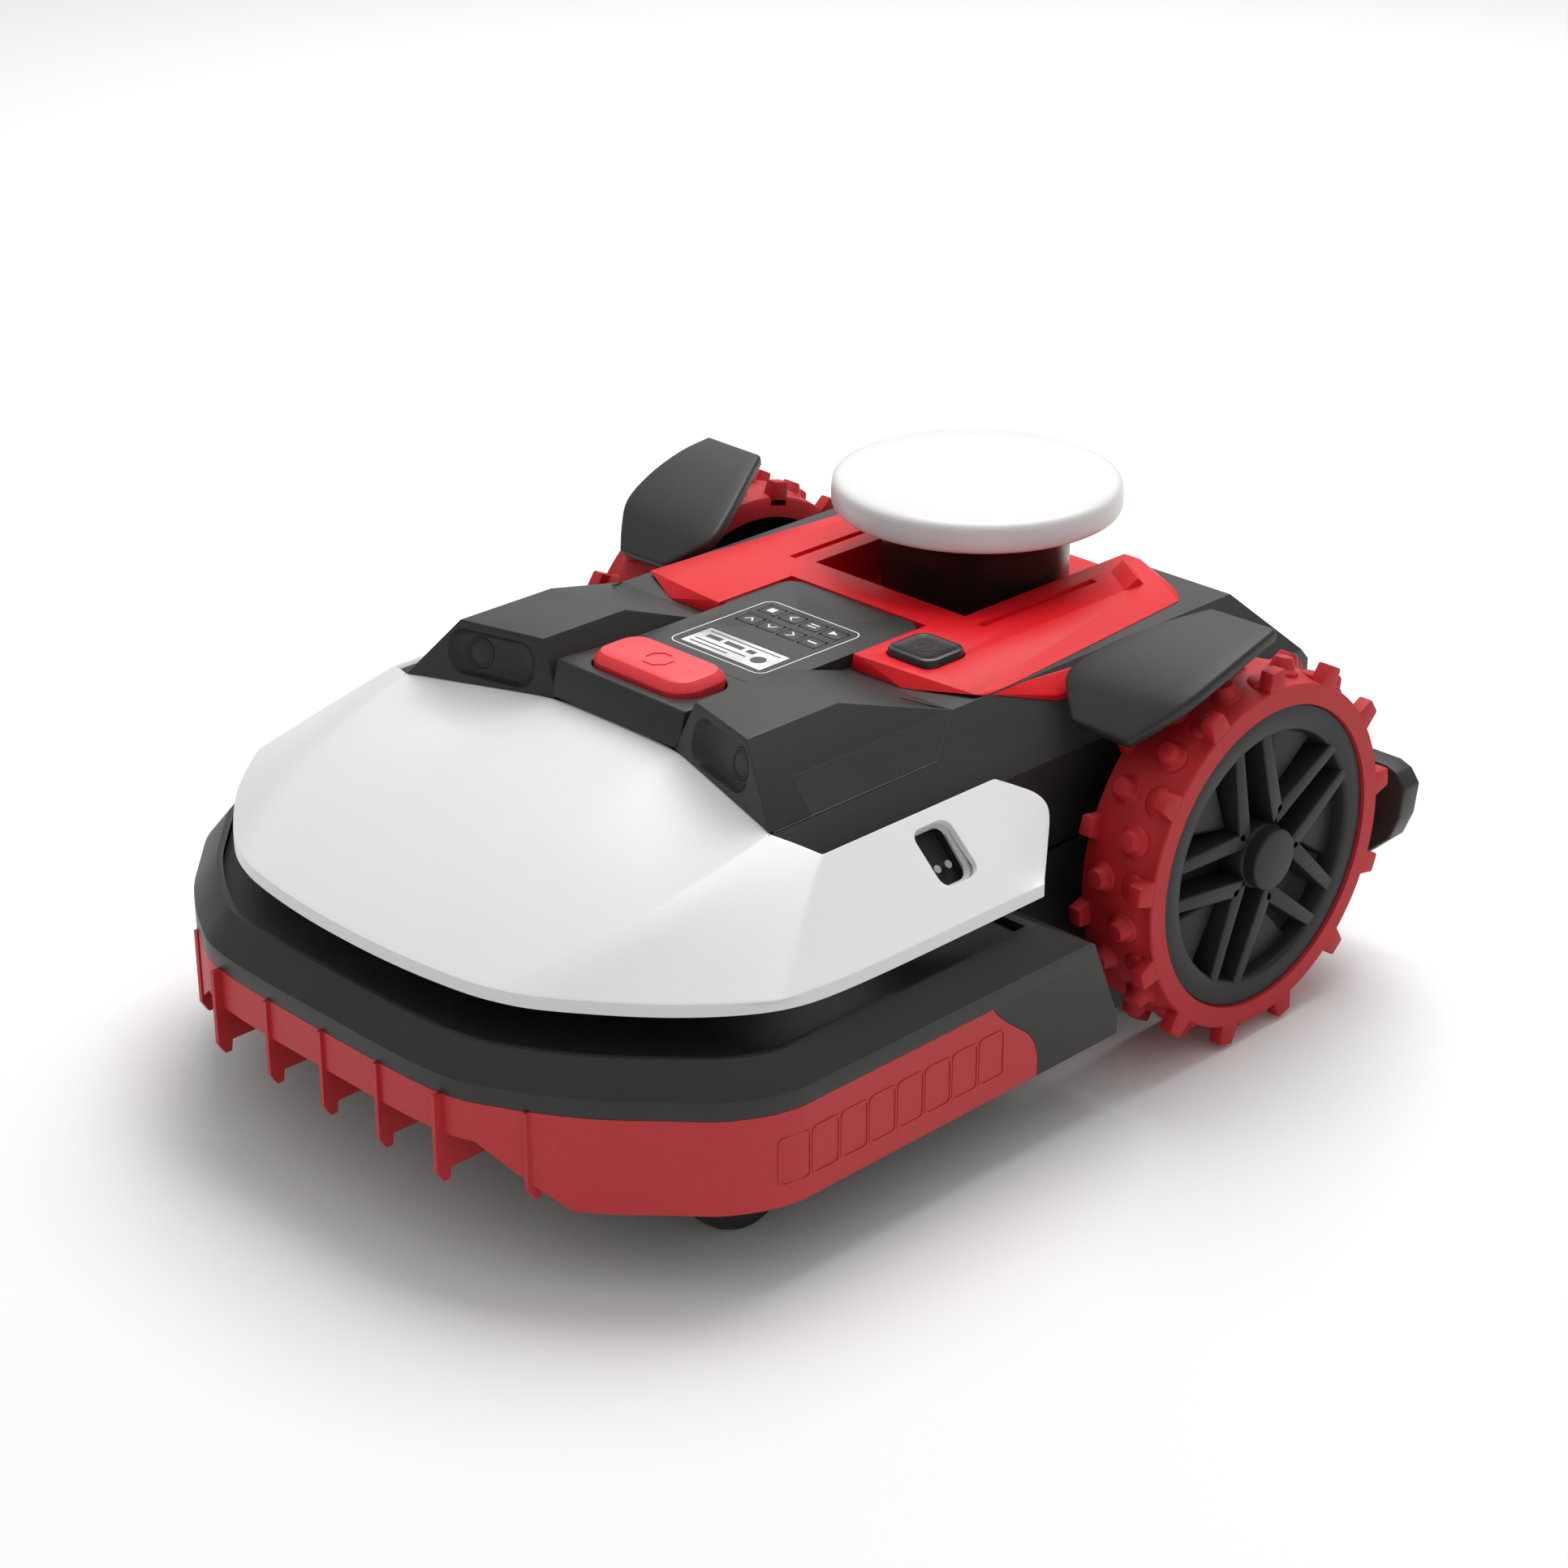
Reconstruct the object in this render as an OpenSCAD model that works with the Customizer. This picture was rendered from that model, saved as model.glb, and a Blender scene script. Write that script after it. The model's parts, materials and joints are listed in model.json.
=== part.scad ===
// Robotic lawn mower: two driven rear wheels, two front casters, a floating top cover with
// a satellite antenna, and a height-adjusted blade disc under a closed lower housing.
// Millimetres. +Z is up, the front faces -Y, the ground is z = 0, and the origin is under
// the middle of the overall box.

/* [Overall] */
// Overall length, front fins to rear guard
body_length = 613; // [606:1:620]
// Depth of the rear guard bar, front to back
guard_depth = 15; // [12:1:16]
// Distance from the rear wheel axle to the back of the guard bar
axle_to_rear = 137.5; // [136:0.5:140]

/* [Rear wheels] */
// Radius to the tips of the tread teeth, which is also the axle height
wheel_r = 110; // [108:0.5:110]
// Width of the tyre
tyre_width = 48; // [44:1:48]
// Distance between the outer faces of the two tyres
track_outer = 451; // [449:1:453]
// Radius of the dark rim
rim_r = 87; // [84:0.5:88]
// Number of teeth around each edge of the tread
tooth_count = 13; // [11:1:15]
// Radius of the drive axle
axle_r = 6; // [5:0.5:7]

/* [Lower housing] */
// Half width of the lower housing at its widest
housing_half = 222; // [218:1:224]
// Height of the seam between the front guard and the housing
seam_z = 99; // [97:1:100]
// Height of the open rim of the housing
rim_z = 125; // [122:1:127]
// Height of the underside of the housing floor
floor_z = 84; // [82:1:85]
// Wall thickness of the plastic shells
wall = 3; // [2.5:0.5:3.5]

/* [Floating cover] */
// Height of the lower edge of the hood
lip_z = 142.5; // [141:0.5:144]
// Height of the flat top between the sensor pods
roof_z = 214; // [213:0.5:214.5]
// Height of the control panel face
panel_z = 221; // [220.5:0.5:222]
// Height of the flat tops of the sensor pods
pod_z = 234; // [232:1:236]
// Half width of the cover between the rear wheels
waist_half = 157; // [155:1:158]

/* [Antenna] */
// Radius of the antenna disc
antenna_r = 83.5; // [80:0.5:85]
// Height of the underside of the antenna disc
antenna_z = 253.7; // [252:0.1:255]
// Thickness of the antenna disc
antenna_t = 21; // [18:1:24]
// Radius of the antenna neck
neck_r = 54; // [50:1:55]

/* [Buttons] */
// Travel room under the stop button
stop_travel = 4; // [3:0.5:4]
// Number of keys in each of the two key rows
key_columns = 4; // [4:1:4]
// Spacing of the keys along a row
key_pitch = 16; // [15:0.5:16]

/* [Casters] */
// Radius of the caster wheel
caster_r = 35; // [33:0.5:35]
// Width of the caster wheel
caster_width = 30; // [26:1:30]
// Distance from the swivel axis back to the caster wheel axle
trail = 14; // [12:1:14]

/* [Cutting] */
// Height of the blades over the ground at mid setting
cut_z = 40; // [38:1:42]
// Radius of the blade disc
disc_r = 95; // [90:1:100]
// Number of pivoting blades
blade_count = 3; // [3:1:3]
// Length of a blade from its pivot to its tip
blade_len = 38; // [34:1:40]

/* [Hidden] */
$fn = 48;
front_y = -body_length / 2;
rear_y = body_length / 2;
axle_y = rear_y - axle_to_rear;
axle_z = wheel_r;
tyre_out = track_outer / 2;
tyre_in = tyre_out - tyre_width;
tyre_mid = (tyre_out + tyre_in) / 2;
nose_y = front_y + 2;                   // outer skin of the nose, behind the fin edges
tub_half = 158;                         // half width of the lower housing between the wheels
tub_back = rear_y - guard_depth - 3;
tub_bottom = 50;
wing_y = 50;                            // rear end of the side skirts
guard_y = -14;                          // rear end of the red band
crest_z = seam_z + 10;                  // top of the upright band above the seam
skirt_z = 46;                           // lower edge of the side skirts
skin = 4;                               // thickness of the front guard
fit_gap = 0.3;                          // gap between parts that only touch
run_gap = 0.05;                         // radial clearance of running fits
lid_z = 160;                            // top of the sealed inner cover
flange_z = 118;                         // underside of its flange
frame_z = 166;                          // underside of the floating frame
frame_t = 5;
post_x = 95;                            // sideways place of the cover posts and lift pins
post_y = [-120, 10];
pin_y = [-85, -30];
post_r = 6;
pin_r = 5;
disc_y = -85;                           // middle of the cutting system
height_travel = 20;                     // height setting each way from the middle
rod_x = 62;
rod_r = 5;
screw_y = disc_y + 62;                  // lead screw of the height setting
screw_r = 4;
blade_pivot_r = disc_r - 12;
caster_x = 160;
caster_y = -185;                        // swivel axis of a caster
stem_r = 6;
stop_y = [-91.5, -52];                  // front and back of the stop button face
stop_half = 38;
stop_base = 222.5;
stop_top = 231.5;
key_rows = [19, 36];
key_size = [13, 11];
power_at = [79, 50];
power_size = [34, 32];
bearing_r = 14;
snout_r = bearing_r + 6;                // sleeve of the gearbox around the bearing
gearbox_r = 34;
trough_half = 58;
trough_y = 104;
trough_z = 196;

// Outlines of the lower housing and of the hood's lower edge, one half, front to back
housing_half_line = [
    [0, nose_y], [84, nose_y + 2], [120, nose_y + 14], [158, nose_y + 37],
    [187, nose_y + 63], [208, nose_y + 84], [housing_half - 1, nose_y + 112],
    [housing_half, nose_y + 150], [housing_half, wing_y - 40], [housing_half, wing_y]
];
hood_half_line = [
    [0, -286], [86, -279], [119, -267], [141, -251], [173, -226], [194, -206], [206, -186],
    [211.5, -155], [212.5, -110], [212.5, -40], [212.5, -2]
];
// Corner points of one sensor pod
pod_points = [
    [111, -115, pod_z], [59.4, -101.4, pod_z], [46, -104, 204], [142, -129.6, 197],
    [111, -50, pod_z], [59, -42, pod_z], [127.8, 17.6, roof_z], [54, 14, roof_z + 1.5],
    [142, -8, 197], [50, 14, roof_z]
];

shell_grey = [0.22, 0.22, 0.22];
hub_grey = [0.16, 0.16, 0.16];
signal_red = [0.80, 0.07, 0.11];
tyre_red = [0.66, 0.12, 0.14];
hood_white = [0.93, 0.93, 0.92];
steel = [0.66, 0.67, 0.69];
black = [0.06, 0.06, 0.06];

// ---- helpers ----

// Left half line joined with its mirror image into a closed outline
function both_sides(line) = concat(
    line,
    [for (i = [len(line) - 1:-1:0]) if (line[i][0] > 0) [-line[i][0], line[i][1]]]
);

// Smooth curve through the points of a half outline
function smooth(line) = [
    for (i = [0:len(line) - 2], t = [0:0.25:0.75]) curve_point(
        i > 0 ? line[i - 1] : [-line[1][0], line[1][1]], line[i], line[i + 1],
        i + 2 < len(line) ? line[i + 2] : 2 * line[i + 1] - line[i], t
    ),
    line[len(line) - 1]
];

function curve_point(a, b, c, d, t) = (
    2 * b + (c - a) * t + (2 * a - 5 * b + 4 * c - d) * t * t + (3 * b - a - 3 * c + d) * t * t * t
) / 2;

module mirrored() {
    children();
    mirror([1, 0, 0]) children();
}

// Thin slab of an outline, shrunk by inset, from z0 up by h
module slab(line, z0, h, inset) {
    translate([0, 0, z0]) linear_extrude(h) offset(delta = -inset) {
        polygon(both_sides(smooth(line)));
    }
}

// Upright rounded box with its corner at its low point
module round_box(size, r) {
    translate([r, r, 0]) linear_extrude(size[2]) union() {
        translate([0, -r]) square([size[0] - 2 * r, size[1]]);
        translate([-r, 0]) square([size[0], size[1] - 2 * r]);
        for (x = [0, size[0] - 2 * r], y = [0, size[1] - 2 * r]) translate([x, y]) circle(r);
    }
}

module centred_box(x, y, z0, z1) {
    translate([-x, y[0], z0]) cube([2 * x, y[1] - y[0], z1 - z0]);
}

module x_rod(x0, x1, r) {
    translate([x0, 0, 0]) rotate([0, 90, 0]) cylinder(r = r, h = x1 - x0);
}

// Small marker that hull uses as a corner point
module corner(p) {
    translate(p) cube(0.02, center = true);
}

// ---- lower housing and what it carries ----

module housing_outer() {
    hull() {
        slab(housing_half_line, seam_z, crest_z - seam_z, 0);
        slab(housing_half_line, rim_z - 0.5, 0.5, 13);
    }
    slab(housing_half_line, tub_bottom, seam_z - tub_bottom, skin + fit_gap);
    // full-width wings behind the ends of the red band
    intersection() {
        slab(housing_half_line, skirt_z, seam_z - skirt_z, 0);
        along_x() offset(delta = -fit_gap) guard_end();
    }
}

// Side view of the space behind the swept ends of the red band
module guard_end() {
    polygon([
        [guard_y - 36, seam_z + 1], [guard_y - 33, 95], [guard_y - 27, 89], [guard_y - 8, 74],
        [guard_y - 3, 67], [guard_y, 58], [guard_y, skirt_z - 1], [60, skirt_z - 1], [60, seam_z + 1]
    ]);
}

// Open tub between the rear wheels
module tub() {
    difference() {
        centred_box(tub_half, [wing_y - 2, tub_back], tub_bottom, rim_z);
        centred_box(tub_half - wall, [wing_y + wall, tub_back - wall], tub_bottom + 2 * wall, rim_z + 1);
    }
}

module lower_housing() {
    color(shell_grey) difference() {
        union() {
            difference() {
                housing_outer();
                housing_cavity();
            }
            tub();
        }
        // way through from the front housing into the tub
        centred_box(tub_half - wall, [20, wing_y + wall + 1], floor_z + wall, rim_z + 1);
        // the band alone closes the nose below its raised edge
        centred_box(150, [front_y, -225], 40, 78);
        // falling rear edge of the wings
        for (x = [-250, tub_half]) translate([x, 0, 0]) rotate([90, 0, 90]) linear_extrude(92) polygon([
            [-4, rim_z + 1], [29, 107], [wing_y - 2, 62], [wing_y + 1, 62], [wing_y + 1, rim_z + 1]
        ]);
        // opening for the battery hatch
        centred_box(90.3, [99.7, 250.3], tub_bottom - 1, tub_bottom + 2 * wall + 1);
        // motor opening, rod seats and lead screw opening in the floor
        floor_hole(0, disc_y, 49);
        for (x = [-rod_x, rod_x]) floor_hole(x, disc_y, rod_r);
        floor_hole(0, screw_y, 6);
        for (x = [-caster_x, caster_x]) floor_hole(x, caster_y, stem_r + 6);
        // seats of the gearbox snouts, open to the rim so that they drop in from above
        for (x = [-tub_half - 1, tub_half - wall - 1]) translate([x, axle_y, axle_z]) {
            x_rod(0, wall + 2, snout_r + fit_gap);
            translate([0, -snout_r - fit_gap, 0]) cube([wall + 2, 2 * (snout_r + fit_gap), 60]);
        }
    }
}

module floor_hole(x, y, r) {
    translate([x, y, floor_z - 1]) cylinder(r = r, h = wall + 2);
}

// Space above and below the housing floor
module housing_cavity() {
    difference() {
        union() {
            hull() {
                slab(housing_half_line, seam_z, crest_z - seam_z - 2, wall + skin);
                slab(housing_half_line, rim_z, 1, 13 + wall + 1);
            }
            slab(housing_half_line, tub_bottom - 5, seam_z - tub_bottom + 5, wall + skin + fit_gap);
        }
        slab(housing_half_line, floor_z, wall, 0);
        mirrored() translate([tub_half, -8, 0]) cube([100, 100, rim_z + 5]);
    }
}

// Coloured band around the nose with fins that push tall grass down
module front_guard() {
    color(tyre_red) {
        difference() {
            slab(housing_half_line, skirt_z, seam_z - skirt_z - fit_gap, 0);
            slab(housing_half_line, skirt_z - 1, seam_z, skin);
            along_x() guard_end();
            // raised lower edge between the front corners
            translate([0, front_y - 1, 0]) rotate([-90, 0, 0]) linear_extrude(60) polygon([
                [-150, -skirt_z + 1], [-150, -skirt_z - 1], [-108, -77], [108, -77],
                [150, -skirt_z - 1], [150, -skirt_z + 1]
            ]);
        }
        for (x = [-133, -89.5, -44.7, 0, 44.7, 89.5, 133]) fin(x);
    }
}

module fin(x) {
    set_back = abs(x) > 100 ? 21 : 0;
    translate([x - 1.3, front_y + set_back, 0]) rotate([90, 0, 90]) linear_extrude(2.6) polygon([
        [0, seam_z - fit_gap], [0, 56], [4, 49.5], [8, 49.5], [9, 56], [46, 56], [48, 58],
        [48, 77], [skin + 2, 77.5], [skin + 2, seam_z - fit_gap]
    ]);
}

// Sealed lid over the electronics, standing on the housing floor
module inner_cover() {
    color(black) difference() {
        union() {
            centred_box(130, [-172, 44], floor_z + wall, lid_z);
            // flange that closes the housing around the raised part
            intersection() {
                slab(housing_half_line, flange_z, wall, 16);
                union() {
                    centred_box(tub_half - wall - 1, [front_y, 44], flange_z, rim_z);
                    centred_box(housing_half, [front_y, -9], flange_z, rim_z);
                }
            }
        }
        centred_box(130 - wall, [-172 + wall, 44 - wall], floor_z, lid_z - wall);
        for (x = [-rod_x, rod_x]) translate([x, disc_y, lid_z - wall - 1]) cylinder(r = rod_r, h = wall + 2);
    }
}

module battery_pack() {
    color(black) translate([-75, 104, tub_bottom + 2 * wall + fit_gap]) round_box([150, 140, 40], 8);
}

module main_board() {
    color([0.05, 0.30, 0.16]) {
        translate([-124, -165, 132]) cube([40, 200, 1.6]);
        for (y = [-150, -100, -50, 0]) translate([-118, y, 133.6]) cube([28, 26, 9]);
    }
}

// Motor and reduction gear that drive one rear wheel
module gearbox() {
    color([0.30, 0.31, 0.32]) translate([0, axle_y, axle_z]) difference() {
        union() {
            x_rod(104, 150, gearbox_r);
            x_rod(150, 172, snout_r);
            x_rod(98, 104, gearbox_r - 8);
            translate([0, 0, 12]) x_rod(52, 98, 17);
        }
        x_rod(120, 173, axle_r + run_gap);
    }
}

// Bar across the back that guards the wheels
module rear_guard() {
    color(shell_grey) {
        translate([0, rear_y, 0]) rotate([90, 0, 0]) linear_extrude(guard_depth) polygon(both_sides([
            [0, 122], [214, 122], [222, 119], [228, 111], [226, 92], [220, 77], [202, 60],
            [195, 58], [0, 58]
        ]));
        for (x = [-110, 110]) translate([x - 12, tub_back, 70]) cube([24, rear_y - guard_depth - tub_back, 40]);
    }
}

module battery_hatch() {
    color(shell_grey) {
        translate([-90, 100, tub_bottom]) round_box([180, 150, 2 * wall], 6);
    }
}

module caster_bushes() {
    color(steel) for (x = [-caster_x, caster_x]) {
        translate([x, caster_y, 0]) difference() {
            translate([0, 0, 81]) cylinder(r = stem_r + 6, h = 30);
            translate([0, 0, 80]) cylinder(r = stem_r + run_gap, h = 32);
        }
    }
}

module guide_rods() {
    color(steel) for (x = [-rod_x, rod_x]) {
        translate([x, disc_y, floor_z]) cylinder(r = rod_r, h = lid_z - floor_z);
    }
}

// Motor that turns the lead screw, held under the lid
module height_motor() {
    color(steel) translate([0, screw_y, 0]) {
        difference() {
            translate([-16, -16, 145]) cube([32, 32, lid_z - wall - 145]);
            translate([0, 0, 140]) cylinder(r = screw_r + run_gap, h = 12);
        }
    }
}

// Rubber posts that carry the floating cover
module cover_posts() {
    color(black) for (x = [-post_x, post_x], y = post_y) {
        translate([x, y, lid_z]) {
            cylinder(r = post_r, h = 14);
            cylinder(r = post_r + 3, h = 4);
        }
    }
}

module screw(p, r, h) {
    translate(p) difference() {
        cylinder(r = r, h = h);
        translate([0, 0, -1]) cylinder(r = r * 0.5, h = 2.5);
    }
}

module housing_screws() {
    color(steel) {
        for (x = [-120, 120], y = [-230, -140, 20]) screw([x, y, floor_z - 3], 4, 2.9);
        for (x = [-110, 110], y = [120, 230]) screw([x, y, tub_bottom - 2.4], 4, 2.3);
    }
}

// ---- floating cover ----

// Inner frame that slides a little on the posts when the cover is bumped
module floating_frame() {
    color(hub_grey) difference() {
        union() {
            centred_box(118, [-140, 30], frame_z, frame_z + frame_t);
            for (x = [-post_x, post_x], y = pin_y) {
                translate([x, y, frame_z]) cylinder(r = pin_r + 5, h = frame_t + 8);
            }
        }
        centred_box(78, [-112, 4], frame_z - 1, frame_z + frame_t + 1);
        for (x = [-post_x, post_x], y = post_y) {
            translate([x, y, frame_z - 1]) cylinder(r = post_r + 5.5, h = frame_t + 2);
        }
        for (x = [-post_x, post_x], y = pin_y) {
            translate([x, y, frame_z - 1]) cylinder(r = pin_r + run_gap, h = frame_t + 12);
        }
    }
}

// Convex outer form of the hood, t inside its outer face
module hood_form(t) {
    hull() {
        slab(hood_half_line, lip_z - (t > 0 ? 1 : 0), 7 - t * 0.3 + (t > 0 ? 1 : 0), t);
        mirrored() {
            corner([44, -106 + t, 204.5 - t]);
            corner([142 - t, -129.6 + t, 197 - t]);
            corner([167.5 - t, -118, 190.7 - t]);
            corner([167.5 - t, 10, 190.7 - t]);
            corner([178 - t, 29.5, 179.4 - t]);
            corner([184.3 - t, 34, 172.5 - t]);
        }
    }
}

module hood() {
    color(hood_white) difference() {
        hood_form(0);
        hood_form(wall);
        // space for the dark upper body and its pods
        translate([0, 0, lip_z - 2]) linear_extrude(100) polygon(both_sides([
            [0, -105.5], [46, -105.5], [142, -131], [waist_half + 1, -116],
            [waist_half + 1, 60]
        ]));
        // window of the charging socket
        charge_window(11, 17, 30);
    }
}

// Place of the charging window on the sloping side of the hood
module on_side_panel() {
    translate([183.5, -47, 173.4]) rotate([0, 47, 0]) children();
}

module charge_window(half_w, half_l, depth) {
    on_side_panel() translate([0, 0, -depth]) linear_extrude(2 * depth) {
        for (s = [-1, 1]) translate([s * (half_l - half_w), 0]) circle(half_w);
        square([2 * (half_l - half_w), 2 * half_w], center = true);
    }
}

module charge_socket() {
    color(black) on_side_panel() difference() {
        translate([0, 0, -17.5]) linear_extrude(13) square([40, 28], center = true);
        translate([0, 0, -12]) linear_extrude(20) square([33, 21], center = true);
    }
}

module charge_pins() {
    color(steel) on_side_panel() for (y = [-4, 4]) {
        translate([6, y, -12]) cylinder(r = 2.2, h = 6);
    }
}

// Cross-section of the dark upper body, thinned by t
module body_section(t) {
    polygon([
        [-waist_half + t, 100], [-waist_half + t, 179.6 - t * 0.4], [-128 + t * 0.4, roof_z - t],
        [128 - t * 0.4, roof_z - t], [waist_half - t, 179.6 - t * 0.4], [waist_half - t, 100]
    ]);
}

module along_y(y0, y1) {
    translate([0, y1, 0]) rotate([90, 0, 0]) linear_extrude(y1 - y0) children();
}

// Upper body without its openings: the section, cut to the side profile
module body_form(t) {
    intersection() {
        along_y(-100 - t, tub_back - t) body_section(t);
        along_x() polygon([
            [-110, lip_z + 3 - 20 * t], [-110, roof_z + 1], [250, roof_z + 1], [250 - t * 0.5, roof_z - t],
            [tub_back - t * 0.8, 172], [tub_back - t * 0.8, rim_z + 3 - 10 * t],
            [52, rim_z + 3 - 10 * t], [52, lip_z + 3 - 20 * t]
        ]);
    }
}

module upper_body() {
    color(shell_grey) difference() {
        union() {
            difference() {
                body_form(0);
                body_form(wall);
            }
            // solid shoulders between the pods and the sides of the hood
            mirrored() intersection() {
                along_y(-131, -98) body_section(0);
                translate([0, 0, lid_z + 5]) linear_extrude(50) polygon([
                    [142.4, -130.6], [waist_half - 0.4, -116.6], [waist_half, -98], [142.4, -98]
                ]);
            }
            // lift pins that slide in the floating frame
            for (x = [-post_x, post_x], y = pin_y) {
                translate([x, y, lid_z + 3.5]) cylinder(r = pin_r, h = roof_z - wall - lid_z - 3);
            }
        }
        // openings under the stop button, the display and the antenna trough
        centred_box(36, [-90, -54], roof_z - 10, roof_z + 1);
        centred_box(30, [-24, -10], roof_z - 10, roof_z + 1);
        centred_box(
            trough_half + wall + fit_gap, [trough_y - wall - fit_gap, 300],
            trough_z - fit_gap, roof_z + 30
        );
        // room for the charging socket and for the gearbox snouts
        on_side_panel() translate([0, 0, -20]) linear_extrude(18) square([42, 30], center = true);
        translate([0, axle_y, axle_z]) x_rod(-170, 170, snout_r + 7);
    }
}

module along_x() {
    translate([-250, 0, 0]) rotate([90, 0, 90]) linear_extrude(500) children();
}

module pod_form(t) {
    middle = [92, -55, 212];
    hull() for (p = pod_points) corner(middle + (p - middle) * (1 - t));
}

// Sensor pod with a stadium-shaped window recess in its front face
module pod() {
    color(shell_grey) difference() {
        pod_form(0);
        pod_form(0.06);
        along_y(-100.3, 60) body_section(-0.25);
        // inner side clears the stop housing and the panel
        translate([0, -140, 150]) cube([50.1, 200, 69]);
        on_pod_face() translate([0, 0, -9]) linear_extrude(14) pod_window(11.5, 25);
    }
    color(hub_grey) difference() {
        on_pod_face() translate([0, 0, -10]) linear_extrude(9.5) pod_window(13.5, 27);
        on_pod_face() translate([0, 0, -8]) linear_extrude(14) pod_window(11.5, 25);
        on_pod_face() translate([9, 0, -11]) cylinder(r = 8.2, h = 6);
        along_y(-100.3, 60) body_section(-0.25);
    }
}

// Middle of the pod's front face, with +Z outwards
module on_pod_face() {
    translate([89.4, -112.5, 217]) rotate([90 - 11.4, 0, -14.8]) children();
}

module pod_window(half_h, half_l) {
    for (s = [-1, 1]) translate([s * (half_l - half_h), 0]) circle(half_h);
    square([2 * (half_l - half_h), 2 * half_h], center = true);
}

module range_sensors() {
    color(black) mirrored() on_pod_face() translate([9, 0, -10]) {
        cylinder(r = 8, h = 5);
        cylinder(r = 6.5, h = 6);
    }
}

module stop_outline(grow) {
    r = 14 + grow;
    translate([-stop_half - grow, stop_y[0] - grow]) {
        for (x = [r, 2 * (stop_half + grow) - r], y = [r, stop_y[1] - stop_y[0] + 2 * grow - r]) {
            translate([x, y]) circle(r);
        }
        translate([r, 0]) square([2 * (stop_half + grow) - 2 * r, stop_y[1] - stop_y[0] + 2 * grow]);
        translate([0, r]) square([2 * (stop_half + grow), stop_y[1] - stop_y[0] + 2 * grow - 2 * r]);
    }
}

module stop_housing() {
    color(shell_grey) difference() {
        along_x_between(-49.8, 49.8) polygon([
            [-105.2, roof_z - 9], [-99.8, 225], [-44.3, 221.4], [-44.3, roof_z + fit_gap],
            [-100.3, roof_z + fit_gap], [-100.3, roof_z - 9]
        ]);
        // the front corners lean in beside the pods
        mirrored() translate([45.5, -110, 200]) rotate([0, 22, 0]) cube([20, 12, 40]);
        translate([0, 0, stop_base - 6]) linear_extrude(20) stop_outline(1.2);
        translate([0, 0, 200]) linear_extrude(40) offset(delta = -5) stop_outline(0);
    }
}

module along_x_between(x0, x1) {
    translate([x0, 0, 0]) rotate([90, 0, 90]) linear_extrude(x1 - x0) children();
}

module stop_button() {
    color(signal_red) {
        translate([0, 0, stop_base - 6 + stop_travel + 0.2]) {
            linear_extrude(stop_top - stop_base - 1) stop_outline(0.5);
            translate([0, 0, stop_top - stop_base - 1]) linear_extrude(2.8) stop_outline(-2);
        }
    }
}

module control_panel() {
    color(hub_grey) difference() {
        translate([0, 0, roof_z + fit_gap]) linear_extrude(panel_z - roof_z - fit_gap) polygon([
            [-49.8, -44], [49.8, -44], [49.8, 24], [52, 28], [52, 68], [49, 75], [42, 79],
            [-42, 79], [-49, 75], [-52, 68], [-52, 28], [-49.8, 24]
        ]);
        translate([-31, -28, panel_z - 1.5]) cube([62, 24, 3]);
        for (i = [0:7]) translate(key_place(i)) {
            translate([-key_size[0] / 2 - 0.35, -key_size[1] / 2 - 0.35, panel_z - 3]) {
                cube([key_size[0] + 0.7, key_size[1] + 0.7, 4]);
            }
        }
    }
}

function key_place(i) = [
    (i % key_columns - (key_columns - 1) / 2) * key_pitch,
    key_rows[floor(i / key_columns)],
    0
];

module key(i) {
    color([0.30, 0.30, 0.30]) translate(key_place(i)) {
        translate([-key_size[0] / 2, -key_size[1] / 2, panel_z - 2.2]) {
            round_box([key_size[0], key_size[1], 2.4], 2.5);
        }
    }
}

module display() {
    color([0.90, 0.92, 0.92]) translate([-30.7, -27.7, panel_z - 1.4]) cube([61.4, 23.4, 1.3]);
}

// Deck that frames the panel and carries the antenna in its trough
module deck_cover() {
    color(signal_red) difference() {
        union() {
            difference() {
                hull() mirrored() {
                    corner([57, 22, panel_z + 1]);
                    corner([82, 24, panel_z + 1]);
                    corner([96, 38, panel_z + 1]);
                    corner([96, 225, panel_z + 1]);
                    corner([70, 240, panel_z + 1]);
                    corner([57, 22, roof_z]);
                    corner([90, 20, roof_z]);
                    corner([126, 38, roof_z + 2]);
                    corner([139.5, 90, 204]);
                    corner([139.5, 90, 199]);
                    corner([139.5, 215, 204]);
                    corner([139.5, 215, 199]);
                    corner([120, 240, 202]);
                    corner([70, 252, 202]);
                }
                along_y(0, 300) body_section(-0.3);
                // room for the control panel
                centred_box(52.3, [0, 79.3], 190, 240);
            }
            // walls and floor of the trough
            centred_box(trough_half + wall, [trough_y - wall, 263], trough_z, trough_z + wall);
            centred_box(trough_half + wall, [trough_y - wall, 250], trough_z, roof_z + 1);
            // raised latches at the rear ends of the rails
            mirrored() hull() {
                corner([70, 205, panel_z - 3]);
                corner([72, 222, panel_z + 6]);
                corner([96, 206, panel_z + 6]);
                corner([95, 188, panel_z - 3]);
                corner([66, 238, panel_z - 3]);
                corner([96, 216, panel_z - 3]);
            }
        }
        centred_box(trough_half, [trough_y, 300], trough_z + wall, 300);
        // grooves along the rails
        mirrored() translate([70.5, 100, panel_z - 3]) cube([5, 96, 10]);
        // seat of the power button
        translate([power_at[0] - power_size[0] / 2 - 1, power_at[1] - power_size[1] / 2 - 1, panel_z - 4]) {
            round_box([power_size[0] + 2, power_size[1] + 2, 20], 8);
        }
    }
}

module power_button() {
    color(black) translate([power_at[0] - power_size[0] / 2, power_at[1] - power_size[1] / 2, panel_z - 1]) {
        round_box([power_size[0], power_size[1], 6.5], 7);
    }
}

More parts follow.
